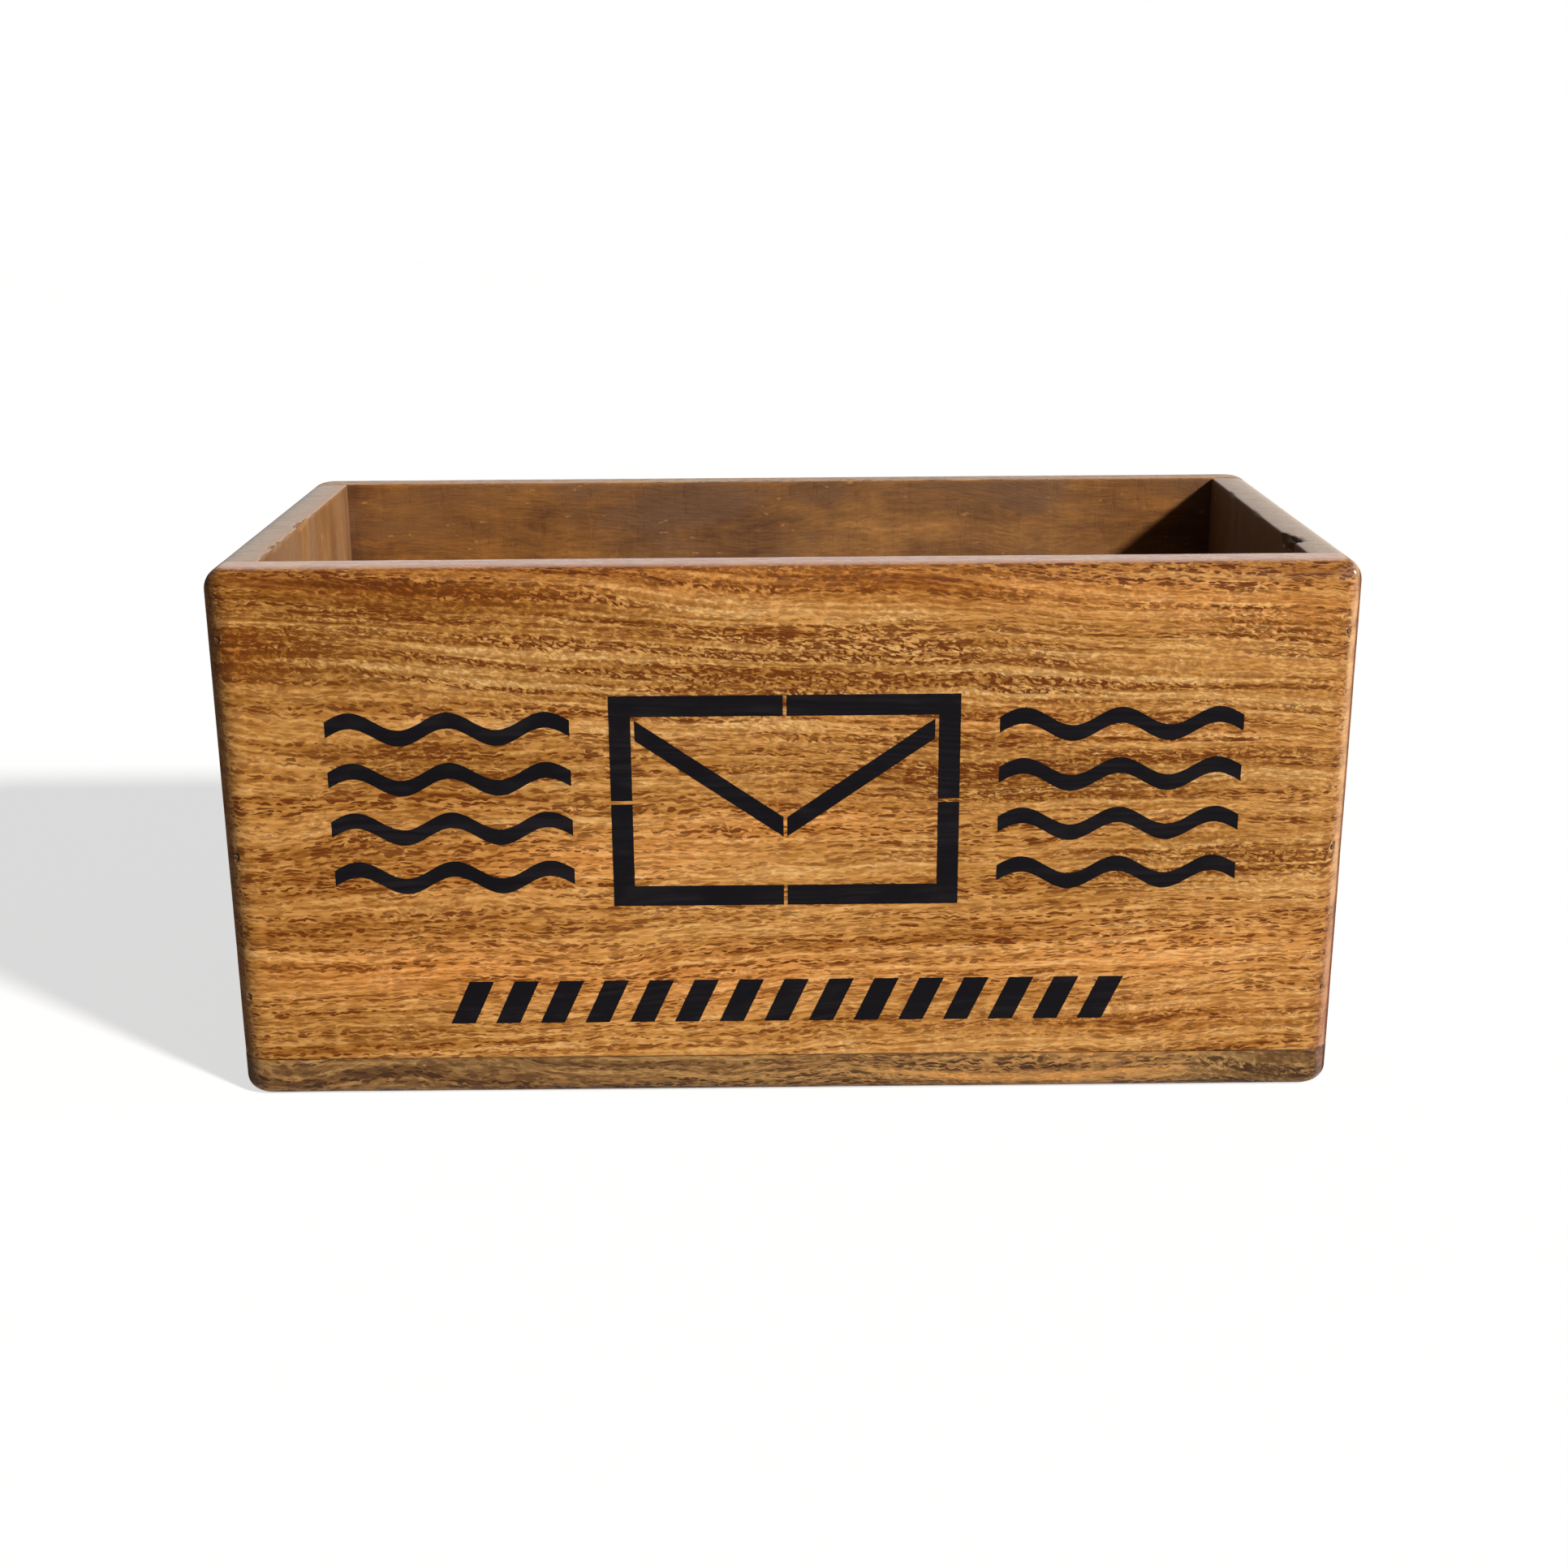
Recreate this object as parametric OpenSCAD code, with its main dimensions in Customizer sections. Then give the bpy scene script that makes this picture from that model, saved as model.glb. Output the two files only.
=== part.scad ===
// Open-topped desk letter box of five planed boards.
// The front and back boards run the full width and cover the ends of the two
// end boards. All four stand on a base board that reaches to the same outside.
// Brads through the long boards and pins up through the base hold the glued
// butt joints. The outside was rounded after assembly, so every board takes
// its outer shape from one rounded block.
// Millimetres, +Z up, front towards -Y, origin at the middle of the underside.

/* [Box] */
// Overall width, left to right
box_w = 320; // [260:1:420]
// Overall depth, front to back
box_d = 158; // [130:1:260]
// Overall height
box_h = 157; // [110:1:240]

/* [Boards] */
// Thickness of the front and back boards
long_t = 14; // [12:0.5:20]
// Thickness of the two end boards
end_t = 14; // [12:0.5:20]
// Thickness of the base board
base_t = 12; // [10:0.5:18]

/* [Rounding] */
// Radius of the four upright corners, seen from above
corner_r = 9; // [9:0.5:14]
// Radius round the outside of the rim
rim_r = 6.5; // [2:0.5:8.5]
// Radius round the bottom of the base
foot_r = 4.5; // [2:0.5:8]

/* [Corner brads] */
// Shank diameter of a brad
brad_d = 1.2; // [1:0.1:2]
// How deep a brad's point lies behind the face of the long board
brad_reach = 30; // [24:1:40]
// Distance of the brads from the side of the box
brad_edge = 4; // [3:0.5:8]
// Distance of the highest and lowest brad from their board's edge
brad_inset = 19.5; // [12:0.5:30]
// How far the middle brad sits below halfway
brad_drop = 10; // [0:1:15]

/* [Base pins] */
// Shank diameter of a pin
pin_d = 1.6; // [1.2:0.1:2.4]
// Length of a pin under its head
pin_length = 30; // [22:1:40]
// Diameter of a pin's head
pin_head_d = 3; // [2.6:0.1:4]
// Thickness of a pin's head
pin_head_t = 0.8; // [0.5:0.1:1.2]
// How far a head is punched in above the underside
pin_set = 0.6; // [0.2:0.1:1.5]
// Distance of the end pins from the side of the box, along a long board
pin_inset = 40; // [25:1:60]
// Pins under each long board
pins_long = 4; // [2:1:6]
// Pins under each end board
pins_end = 2; // [1:1:3]

/* [Hidden] */
$fn = 96;

// Room round a brad or pin in its own hole
fit_gap = 0.02;
// How far cutters run past a face
overrun = 2;

wall_h = box_h - base_t;
end_board_l = box_d - 2 * long_t;
brad_heights = [
    base_t + brad_inset,
    base_t + wall_h / 2 - brad_drop,
    box_h - brad_inset
];
long_pin_step = (box_w - 2 * pin_inset) / (pins_long - 1);
end_pin_step = end_board_l / (pins_end + 1);
// The four upright corners: side, face and the turn that faces outward
CORNERS = [[1, 1, 0], [-1, 1, 90], [-1, -1, 180], [1, -1, 270]];

// A quarter disc in the first quadrant
module quarter_disc(r) {
    intersection() {
        circle(r);
        square(2 * r);
    }
}

// Half section of the outside: x runs outward to the face, y is height
module side_section() {
    square([corner_r - foot_r, foot_r]);
    translate([corner_r - foot_r, foot_r])
        mirror([0, 1])
            quarter_disc(foot_r);
    translate([0, foot_r])
        square([corner_r, box_h - foot_r - rim_r]);
    translate([0, box_h - rim_r])
        square([corner_r - rim_r, rim_r]);
    translate([corner_r - rim_r, box_h - rim_r])
        quarter_disc(rim_r);
}

// One straight stretch of the outside, facing +X, with its inner limit at x = 0
module straight_side(length) {
    translate([0, length / 2, 0])
        rotate([90, 0, 0])
            linear_extrude(length)
                side_section();
}

// The whole box as one solid block with its corners and edges rounded
module rounded_block() {
    inner_w = box_w - 2 * corner_r;
    inner_d = box_d - 2 * corner_r;
    translate([-inner_w / 2, -inner_d / 2, 0])
        cube([inner_w, inner_d, box_h]);
    for (turn = [0, 180])
        rotate(turn) {
            translate([inner_w / 2, 0, 0])
                straight_side(inner_d);
            rotate(90)
                translate([inner_d / 2, 0, 0])
                    straight_side(inner_w);
        }
    for (c = CORNERS)
        translate([c[0] * inner_w / 2, c[1] * inner_d / 2, 0])
            rotate(c[2])
                rotate_extrude(angle = 90)
                    side_section();
}

// A board: the part of the rounded block that lies in a box of its sawn size
module board_blank(low, size) {
    intersection() {
        rounded_block();
        translate(low)
            cube(size);
    }
}

// The line of brads at one corner, from outside the face to their points
module corner_brad_lines(side, face, d, reach) {
    for (z = brad_heights)
        translate([side * (box_w / 2 - brad_edge), face * (box_d / 2 + overrun), z])
            rotate([face * 90, 0, 0])
                cylinder(d = d, h = reach + overrun);
}

// The holes that the brads fill at one corner
module corner_brad_holes(side, face) {
    corner_brad_lines(side, face, brad_d + 2 * fit_gap, brad_reach + fit_gap);
}

// The brads at one corner, ground flush with the rounded outside
module corner_brads(side, face) {
    color("dimgray")
        intersection() {
            rounded_block();
            corner_brad_lines(side, face, brad_d, brad_reach);
        }
}

// A base pin standing on its head, with room added all round for a hole
module base_pin(gap = 0) {
    translate([0, 0, pin_set])
        cylinder(d = pin_head_d + 2 * gap, h = pin_head_t + gap);
    translate([0, 0, pin_set])
        cylinder(d = pin_d + 2 * gap, h = pin_head_t + pin_length + gap);
}

// The hole for a base pin, open below
module base_pin_hole() {
    base_pin(fit_gap);
    translate([0, 0, -overrun])
        cylinder(d = pin_head_d + 2 * fit_gap, h = overrun + pin_set + pin_head_t);
}

// Puts its children at each pin under a long board
module at_long_pins(face) {
    for (i = [0 : pins_long - 1])
        translate([i * long_pin_step - (box_w / 2 - pin_inset), face * (box_d - long_t) / 2, 0])
            children();
}

// Puts its children at each pin under an end board
module at_end_pins(side) {
    for (i = [1 : pins_end])
        translate([side * (box_w - end_t) / 2, i * end_pin_step - end_board_l / 2, 0])
            children();
}

// The front board with face -1, or the back board with face 1
module long_board(face) {
    color("peru")
        difference() {
            board_blank(
                [-box_w / 2, face > 0 ? box_d / 2 - long_t : -box_d / 2, base_t],
                [box_w, long_t, wall_h]
            );
            corner_brad_holes(-1, face);
            corner_brad_holes(1, face);
            at_long_pins(face)
                base_pin_hole();
        }
}

// The left end board with side -1, or the right one with side 1
module end_board(side) {
    color("sienna")
        difference() {
            board_blank(
                [side > 0 ? box_w / 2 - end_t : -box_w / 2, -end_board_l / 2, base_t],
                [end_t, end_board_l, wall_h]
            );
            corner_brad_holes(side, -1);
            corner_brad_holes(side, 1);
            at_end_pins(side)
                base_pin_hole();
        }
}

module base_board() {
    color("saddlebrown")
        difference() {
            board_blank([-box_w / 2, -box_d / 2, 0], [box_w, box_d, base_t]);
            for (face = [-1, 1])
                at_long_pins(face)
                    base_pin_hole();
            for (side = [-1, 1])
                at_end_pins(side)
                    base_pin_hole();
        }
}

module long_base_pins(face) {
    color("dimgray")
        at_long_pins(face)
            base_pin();
}

module end_base_pins(side) {
    color("dimgray")
        at_end_pins(side)
            base_pin();
}

base_board();
long_board(-1);  // front_board
long_board(1);  // back_board
end_board(-1);  // left_end_board
end_board(1);  // right_end_board
corner_brads(-1, -1);  // front_left_brads
corner_brads(1, -1);  // front_right_brads
corner_brads(-1, 1);  // back_left_brads
corner_brads(1, 1);  // back_right_brads
long_base_pins(-1);  // front_base_pins
long_base_pins(1);  // back_base_pins
end_base_pins(-1);  // left_base_pins
end_base_pins(1);  // right_base_pins
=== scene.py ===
from math import cos, pi, radians, sin, tan

import bmesh
import bpy
import numpy as np
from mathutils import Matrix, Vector, noise


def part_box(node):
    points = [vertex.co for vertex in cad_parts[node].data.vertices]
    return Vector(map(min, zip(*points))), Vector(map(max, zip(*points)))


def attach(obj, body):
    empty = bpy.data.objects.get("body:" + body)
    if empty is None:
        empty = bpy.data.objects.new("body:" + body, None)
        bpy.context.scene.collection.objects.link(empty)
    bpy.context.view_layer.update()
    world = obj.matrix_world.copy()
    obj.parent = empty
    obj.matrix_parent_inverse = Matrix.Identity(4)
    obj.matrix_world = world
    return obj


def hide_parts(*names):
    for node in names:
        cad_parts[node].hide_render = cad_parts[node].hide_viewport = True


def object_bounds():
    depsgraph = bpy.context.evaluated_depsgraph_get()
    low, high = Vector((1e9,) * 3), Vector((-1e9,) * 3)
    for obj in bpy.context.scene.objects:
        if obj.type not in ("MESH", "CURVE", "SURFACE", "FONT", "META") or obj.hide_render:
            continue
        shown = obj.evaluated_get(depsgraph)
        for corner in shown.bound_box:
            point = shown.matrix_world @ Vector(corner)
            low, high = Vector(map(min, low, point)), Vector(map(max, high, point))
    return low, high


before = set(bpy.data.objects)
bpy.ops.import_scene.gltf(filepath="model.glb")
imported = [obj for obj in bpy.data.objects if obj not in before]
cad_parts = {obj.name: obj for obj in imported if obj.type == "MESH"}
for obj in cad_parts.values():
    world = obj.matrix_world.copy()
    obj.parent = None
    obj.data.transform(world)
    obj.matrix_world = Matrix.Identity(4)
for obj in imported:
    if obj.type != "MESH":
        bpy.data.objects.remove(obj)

bl_info = {
    "name": "Letter Box",
    "version": (1, 0, 0),
    "blender": (4, 5, 0),
    "location": "3D View > Sidebar > Letter Box",
    "description": "Dresses an open desk letter box of five boards: shaped boards, brads, stencil marks and stage",
    "category": "Object",
}

# The whole model's box before any piece is added, which is the CAD model's box
CAD_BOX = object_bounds()
MM = 0.001
BODY = "root"
BOARDS = ("front_board", "back_board", "left_end_board", "right_end_board", "base_board")
BRADS = ("front_left_brads", "front_right_brads", "back_left_brads", "back_right_brads")
BASE_PINS = ("front_base_pins", "back_base_pins", "left_base_pins", "right_base_pins")


def colour(red, green, blue):
    """A colour given on the 0 to 255 screen scale, as the linear values that shaders take"""
    return tuple(
        (c / 255 / 12.92) if c / 255 <= 0.04045 else ((c / 255 + 0.055) / 1.055) ** 2.4
        for c in (red, green, blue)
    )


def length(name, description, default):
    """A size that a user may change"""
    return bpy.props.FloatProperty(
        name=name, description=description, default=default, min=0.0, subtype="DISTANCE", unit="LENGTH"
    )


def tint(name, description, default):
    """A colour that a user may change"""
    return bpy.props.FloatVectorProperty(
        name=name, description=description, default=default, size=3, min=0.0, max=1.0, subtype="COLOR"
    )


class LetterBoxShape(bpy.types.PropertyGroup):
    corner_radius: length("Corner radius", "Radius of the four upright corners", 9 * MM)
    rim_radius: length("Rim radius", "Radius round the outside of the rim", 6.5 * MM)
    foot_radius: length("Foot radius", "Radius round the bottom of the base", 4.5 * MM)
    rim_arris: length("Rim arris", "Softening of the inner edge of the rim", 0.5 * MM)
    seam_arris: length("Seam arris", "Softening of the boards' edges at the joints", 0.2 * MM)
    mesh_step: length("Mesh step", "Distance between mesh lines on the broad faces", 2.2 * MM)
    fine_step: length("Fine step", "Distance between mesh lines next to an edge", 0.5 * MM)
    sanding_wave: length("Sanding wave", "Depth of the waves left by sanding the outside", 0.07 * MM)
    saw_wave: length("Saw wave", "Depth of the waves left by the saw on the inside", 0.16 * MM)
    brad_dimple: length("Brad dimple", "Radius of the dimple round a brad's end", 1.0 * MM)
    dimple_depth: length("Dimple depth", "Depth of the dimple round a brad's end", 0.8 * MM)
    paint_film: length("Paint film", "Height of the stencil paint above the wood", 0.08 * MM)


class LetterBoxFinish(bpy.types.PropertyGroup):
    honey: tint("Honey", "Lightest tone of the stained wood", colour(234, 186, 124))
    gold: tint("Gold", "Light tone of the stained wood", colour(212, 153, 88))
    amber: tint("Amber", "Middle tone of the stained wood", colour(180, 122, 58))
    chestnut: tint("Chestnut", "Dark tone of the stained wood", colour(144, 86, 26))
    umber: tint("Umber", "Darkest tone of the stained wood", colour(90, 48, 4))
    pore: tint("Pore", "Stain gathered in the open pores", colour(102, 48, 2))
    end_grain: tint("End grain", "Middle tone of the end grain on the long boards", colour(176, 122, 88))
    # Partly a painted sheen: the grey stands in for the grazing reflection along the back board's top
    back_top: tint("Back top", "Dull tone along the top of the back board", colour(150, 130, 106))
    # Partly rubbed lacquer and partly a painted sheen: the pale tone stands in for the grazing reflection along the
    # front board's top
    rubbed_top_and_sheen: tint("Rubbed top and sheen", "Lacquer rubbed pale with a painted sheen along the top of the front board", colour(202, 150, 120))
    torn: tint("Torn wood", "Bare torn fibres in the chips of the rims", colour(118, 88, 62))
    base_light: tint("Base light", "Light tone of the base board", colour(182, 136, 84))
    base_brown: tint("Base brown", "Middle tone of the base board", colour(140, 98, 58))
    base_dark: tint("Base dark", "Dark tone of the base board", colour(106, 70, 38))
    base_umber: tint("Base umber", "Darkest tone of the base board", colour(66, 40, 22))
    inside_light: tint("Inside light", "Lightest tone of the thinly stained inside", colour(158, 108, 58))
    inside_dark: tint("Inside dark", "Darkest tone of the thinly stained inside", colour(88, 56, 36))
    end_light: tint("End light", "Lightest tone inside the end boards", colour(166, 126, 90))
    end_dark: tint("End dark", "Darkest tone inside the end boards", colour(122, 86, 58))
    # Partly weathered end grain and partly a painted sheen: the pale grey stands in for the grazing reflection on the
    # rims
    sawn_grey: tint("Sawn grey", "Weathered end grain with a painted sheen on the end boards' rims", colour(174, 150, 130))
    steel: tint("Steel", "Bare wire of the brads and pins", colour(132, 112, 98))
    rust: tint("Rust", "Tarnish on the brads and pins", colour(84, 50, 34))
    paint: tint("Paint", "Stencil paint", colour(11, 9, 13))
    paint_worn: tint("Paint worn", "Stencil paint rubbed along the grain", colour(44, 38, 42))


class LetterBoxStage(bpy.types.PropertyGroup):
    key_strength: bpy.props.FloatProperty(
        name="Key strength", description="Strength of the key light", default=4.7, min=0.0
    )
    key_bearing: bpy.props.FloatProperty(
        name="Key bearing", description="How far the key light stands to the right of the front",
        default=radians(50), subtype="ANGLE"
    )
    key_height: bpy.props.FloatProperty(
        name="Key height", description="How high the key light stands", default=radians(31), subtype="ANGLE"
    )
    key_spread: bpy.props.FloatProperty(
        name="Key spread", description="Width of the key light as seen from the box, which softens its shadows",
        default=radians(5.5), subtype="ANGLE"
    )
    window_power: bpy.props.FloatProperty(
        name="Window power", description="Power of the window that only gloss shows", default=14.0, min=0.0,
        unit="POWER"
    )
    window_bearing: bpy.props.FloatProperty(
        name="Window bearing", description="How far the window stands to the right of the front",
        default=radians(107), subtype="ANGLE"
    )
    window_height: bpy.props.FloatProperty(
        name="Window height", description="Angle of the window above the floor", default=radians(18), subtype="ANGLE"
    )
    window_distance: length("Window distance", "From the box to the window", 2.5)
    window_size: length("Window size", "Side of the square window", 0.4)
    fill: bpy.props.FloatProperty(
        name="Fill", description="Strength of the room light", default=0.09, min=0.0
    )
    room_behind: bpy.props.FloatProperty(
        name="Room behind the camera", description="Strength of what gloss reflects behind the camera",
        default=0.35, min=0.0
    )
    camera_place: bpy.props.FloatVectorProperty(
        name="Camera place", description="Where the camera stands", default=(-4.2 * MM, -636.9 * MM, 270.6 * MM),
        size=3, subtype="TRANSLATION", unit="LENGTH"
    )
    camera_turn: bpy.props.FloatVectorProperty(
        name="Camera turn", description="Tilt, roll and turn of the camera",
        default=(radians(72.54), radians(0.364), radians(-0.510)), size=3, subtype="EULER"
    )
    camera_lens: bpy.props.FloatProperty(
        name="Focal length", description="Focal length in millimetres on a 36 mm sensor", default=47.83, min=1.0
    )


# Meshes

def graded(low, high, fine, coarse):
    """Places from low to high whose steps grow from fine at both ends to coarse in the middle"""
    growth = 1.35
    half = [0.0]
    step = fine
    while half[-1] + step < (high - low) / 2 and step < coarse:
        half.append(half[-1] + step)
        step *= growth
    left = low + half[-1]
    right = high - half[-1]
    count = max(1, round((right - left) / coarse))
    middle = [left + (right - left) * i / count for i in range(1, count)]
    return [low + h for h in half] + middle + [high - h for h in reversed(half)]


def arc_places(centre, radius, side, count=7):
    """Places that turn into even steps of angle once the edge beyond them is rounded"""
    return [centre + side * radius * tan(pi / 4 * i / count) for i in range(count + 1)]


def around(centre, reach, step):
    """Extra places on both sides of a small feature"""
    count = int(reach / step)
    return [centre + step * i for i in range(-count, count + 1)]


def merged(places, low, high, least):
    """Sorted places from low to high, without any that lie closer together than least"""
    kept = [low]
    for place in sorted(places):
        if low + least < place < high - least and place - kept[-1] >= least:
            kept.append(place)
    return np.array(kept + [high])


def lattice_shell(lines):
    """Points, quads and each quad's side of a closed block whose six sides are grids through the given lines"""
    number = {}
    points = []
    quads = []
    sides = []

    def point(place):
        if place not in number:
            number[place] = len(points)
            points.append([lines[axis][place[axis]] for axis in range(3)])
        return number[place]

    for axis in range(3):
        across, along = (axis + 1) % 3, (axis + 2) % 3
        for end in (0, 1):
            level = (len(lines[axis]) - 1) * end
            for i in range(len(lines[across]) - 1):
                for j in range(len(lines[along]) - 1):
                    ring = []
                    for di, dj in ((0, 0), (1, 0), (1, 1), (0, 1)):
                        place = [0, 0, 0]
                        place[axis], place[across], place[along] = level, i + di, j + dj
                        ring.append(point(tuple(place)))
                    quads.append(ring if end else ring[::-1])
                    sides.append((axis, end))
    return np.array(points), quads, sides


def rounded_over(points, shape):
    """Moves points of the sharp outer block onto the rounded one, and all between them in step"""
    half_w, half_d = CAD_BOX[1][0], CAD_BOX[1][1]
    height = CAD_BOX[1][2]
    corner, rim, foot = shape.corner_radius, shape.rim_radius, shape.foot_radius
    core = np.array([half_w - corner, half_d - corner])
    flat = points[:, :2]
    beyond = np.maximum(np.abs(flat) - core, 0)
    reach = beyond.max(axis=1)
    spread = np.maximum(np.hypot(beyond[:, 0], beyond[:, 1]), 1e-12)
    outward = beyond / spread[:, None]
    z = points[:, 2].copy()
    for radius, level, way in ((rim, height - rim, 1), (foot, foot, -1)):
        over = reach - (corner - radius)
        past = way * (z - level)
        edge = (over > 0) & (past > 0)
        pull = np.maximum(over, past) / np.maximum(np.hypot(over, past), 1e-12)
        reach = np.where(edge, corner - radius + over * pull, reach)
        z = np.where(edge, level + way * past * pull, z)
    result = points.copy()
    moved = beyond.max(axis=1) > 0
    inner = np.clip(flat, -core, core)
    result[:, :2] = np.where(moved[:, None], inner + np.sign(flat) * outward * reach[:, None], flat)
    result[:, 2] = z
    return result


def soften_arrises(points, low, high, outer, shape):
    """Eases the block's own edges, except where two outer sides meet and the round-over takes the edge"""
    tiny = 1e-7
    result = points.copy()
    at = {}
    for axis in range(3):
        at[axis, 0] = np.abs(points[:, axis] - low[axis]) < tiny
        at[axis, 1] = np.abs(points[:, axis] - high[axis]) < tiny
    ease = 0.3
    for one in at:
        for other in at:
            if one[0] == other[0] or (one in outer and other in outer):
                continue
            rim = (2, 1) in (one, other)
            amount = ease * (shape.rim_arris if rim else shape.seam_arris)
            both = at[one] & at[other]
            result[both, one[0]] -= (1 if one[1] else -1) * amount / 2
            result[both, other[0]] -= (1 if other[1] else -1) * amount / 2
    return result


def carved(points, centre, radii, inward):
    """Presses the points inside an ellipsoid along one direction until they lie on its far side"""
    way = np.array(inward, float)
    way /= np.linalg.norm(way)
    q = (points - np.array(centre)) / radii
    w = way / radii
    a = float(w @ w)
    b = q @ w
    c = (q * q).sum(axis=1) - 1
    inside = c < 0
    travel = np.where(inside, (-b + np.sqrt(np.maximum(b * b - a * c, 0))) / a, 0)
    return points + travel[:, None] * way


def wavy(points, scale, seed, detail=2):
    """Smooth noise from about -1 to 1 at each point; scale is the size of one wave along X, Y and Z"""
    shift = Vector((seed * 3.1, seed * 1.7, seed * 5.3))
    return np.array([
        noise.fractal(Vector(p / scale) + shift, 0.6, 2.0, detail) for p in points
    ])


def new_object(name, points, faces):
    """A smooth-shaded mesh object in the scene"""
    mesh = bpy.data.meshes.new(name)
    mesh.from_pydata([tuple(p) for p in points], [], faces)
    mesh.validate()
    mesh.polygons.foreach_set("use_smooth", [True] * len(mesh.polygons))
    mesh.update()
    obj = bpy.data.objects.new(name, mesh)
    bpy.context.scene.collection.objects.link(obj)
    return obj


def vertex_normals(mesh):
    normals = np.zeros(len(mesh.vertices) * 3)
    mesh.vertex_normals.foreach_get("vector", normals)
    return normals.reshape(-1, 3)


def vertex_places(mesh):
    places = np.zeros(len(mesh.vertices) * 3)
    mesh.vertices.foreach_get("co", places)
    return places.reshape(-1, 3)


def place_vertices(mesh, places):
    mesh.vertices.foreach_set("co", places.ravel())
    mesh.update()


def set_attribute(mesh, name, values):
    """Stores one number per vertex, which materials read by its name"""
    layer = mesh.attributes.new(name, "FLOAT", "POINT")
    layer.data.foreach_set("value", np.asarray(values, dtype=np.float32))


def cut_away(obj, cutters):
    """Cuts the given solids out of a mesh object and removes them"""
    for cutter in cutters:
        step = obj.modifiers.new("Cut", "BOOLEAN")
        step.operation = "DIFFERENCE"
        step.solver = "EXACT"
        step.object = cutter
    graph = bpy.context.evaluated_depsgraph_get()
    result = bpy.data.meshes.new_from_object(obj.evaluated_get(graph))
    old = obj.data
    obj.modifiers.clear()
    obj.data = result
    bpy.data.meshes.remove(old)
    for cutter in cutters:
        mesh = cutter.data
        bpy.data.objects.remove(cutter)
        bpy.data.meshes.remove(mesh)


def rod(name, start, end, radius, sides=20):
    """A closed cylinder from start to end, used as a cutter"""
    start, end = Vector(start), Vector(end)
    bm = bmesh.new()
    bmesh.ops.create_cone(
        bm, cap_ends=True, segments=sides, radius1=radius, radius2=radius, depth=(end - start).length
    )
    turn = (end - start).to_track_quat("Z", "Y").to_matrix().to_4x4()
    turn.translation = (start + end) / 2
    bmesh.ops.transform(bm, matrix=turn, verts=bm.verts)
    mesh = bpy.data.meshes.new(name)
    bm.to_mesh(mesh)
    bm.free()
    obj = bpy.data.objects.new(name, mesh)
    bpy.context.scene.collection.objects.link(obj)
    return obj


def node_solids(name):
    """The lowest and highest corner of each separate solid of a CAD node"""
    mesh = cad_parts[name].data
    parent = list(range(len(mesh.vertices)))

    def root(v):
        while parent[v] != v:
            parent[v] = parent[parent[v]]
            v = parent[v]
        return v

    seen = {}
    for v in mesh.vertices:
        key = tuple(round(c, 6) for c in v.co)
        parent[root(v.index)] = root(seen.setdefault(key, v.index))
    for edge in mesh.edges:
        parent[root(edge.vertices[0])] = root(edge.vertices[1])
    groups = {}
    for v in mesh.vertices:
        groups.setdefault(root(v.index), []).append(v.co[:])
    return [(np.min(g, axis=0), np.max(g, axis=0)) for g in groups.values()]


# Boards

# Soft patches on the front board: middle x and z and half width and height in millimetres,
# then how much lighter, how much more speckled and how much warmer the wood is there
FRONT_PATCHES = (
    # The first two rows darken the left end and lighten the right end: a painted falloff of light towards the left
    (-135, 85, 50, 60, -0.3, 0.0, 0.0),
    (140, 80, 45, 60, 0.25, 0.1, 0.1),
    (0, 152, 190, 5, -0.25, 0.2, 0.3),
    (135, 138, 30, 14, 0.0, 0.2, 0.1),
    (-150, 135, 14, 9, -0.5, 0.3, 0.8),
    (-105, 150.5, 50, 2.6, -1.5, 0.4, 0.4),
    (30, 154, 80, 3, -0.5, 0.2, 0.3),
    (115, 149, 50, 7, 0.45, 0.0, 0.2),
    (0, 130, 170, 24, 0.12, 0.45, 0.0),
    (-78, 144, 48, 6, -0.55, 0.5, -0.2),
    (-140, 138, 30, 16, -0.30, 0.0, -0.5),
    (-85, 128, 60, 5, -0.15, 0.6, -0.3),
    (20, 128, 90, 6, -0.18, 0.7, -0.2),
    (70, 112, 60, 4, 0.25, 0.1, 0.3),
    (-95, 101, 32, 6, -0.55, 0.3, -0.3),
    (80, 96, 70, 7, -0.35, 0.8, -0.3),
    (0, 84, 36, 6, 0.50, 0.0, 0.5),
    (-62, 72, 40, 7, 0.25, 0.0, 0.5),
    (120, 72, 34, 8, -0.35, 0.9, -0.3),
    (-90, 56, 46, 5, -0.20, 0.2, 0.1),
    (100, 42, 52, 9, 0.60, 0.0, 0.5),
    (-20, 36, 50, 8, 0.45, 0.0, 0.6),
    (-105, 40, 40, 7, 0.15, 0.0, 0.7),
    (-128, 20, 32, 6, -0.45, 0.2, -0.2),
    (110, 24, 50, 5, -0.20, 0.5, 0.2),
)
# Fall of the front board's grain towards the right, low on the board and high on it
FRONT_SLOPES = (-0.045, 0.06)


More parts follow.
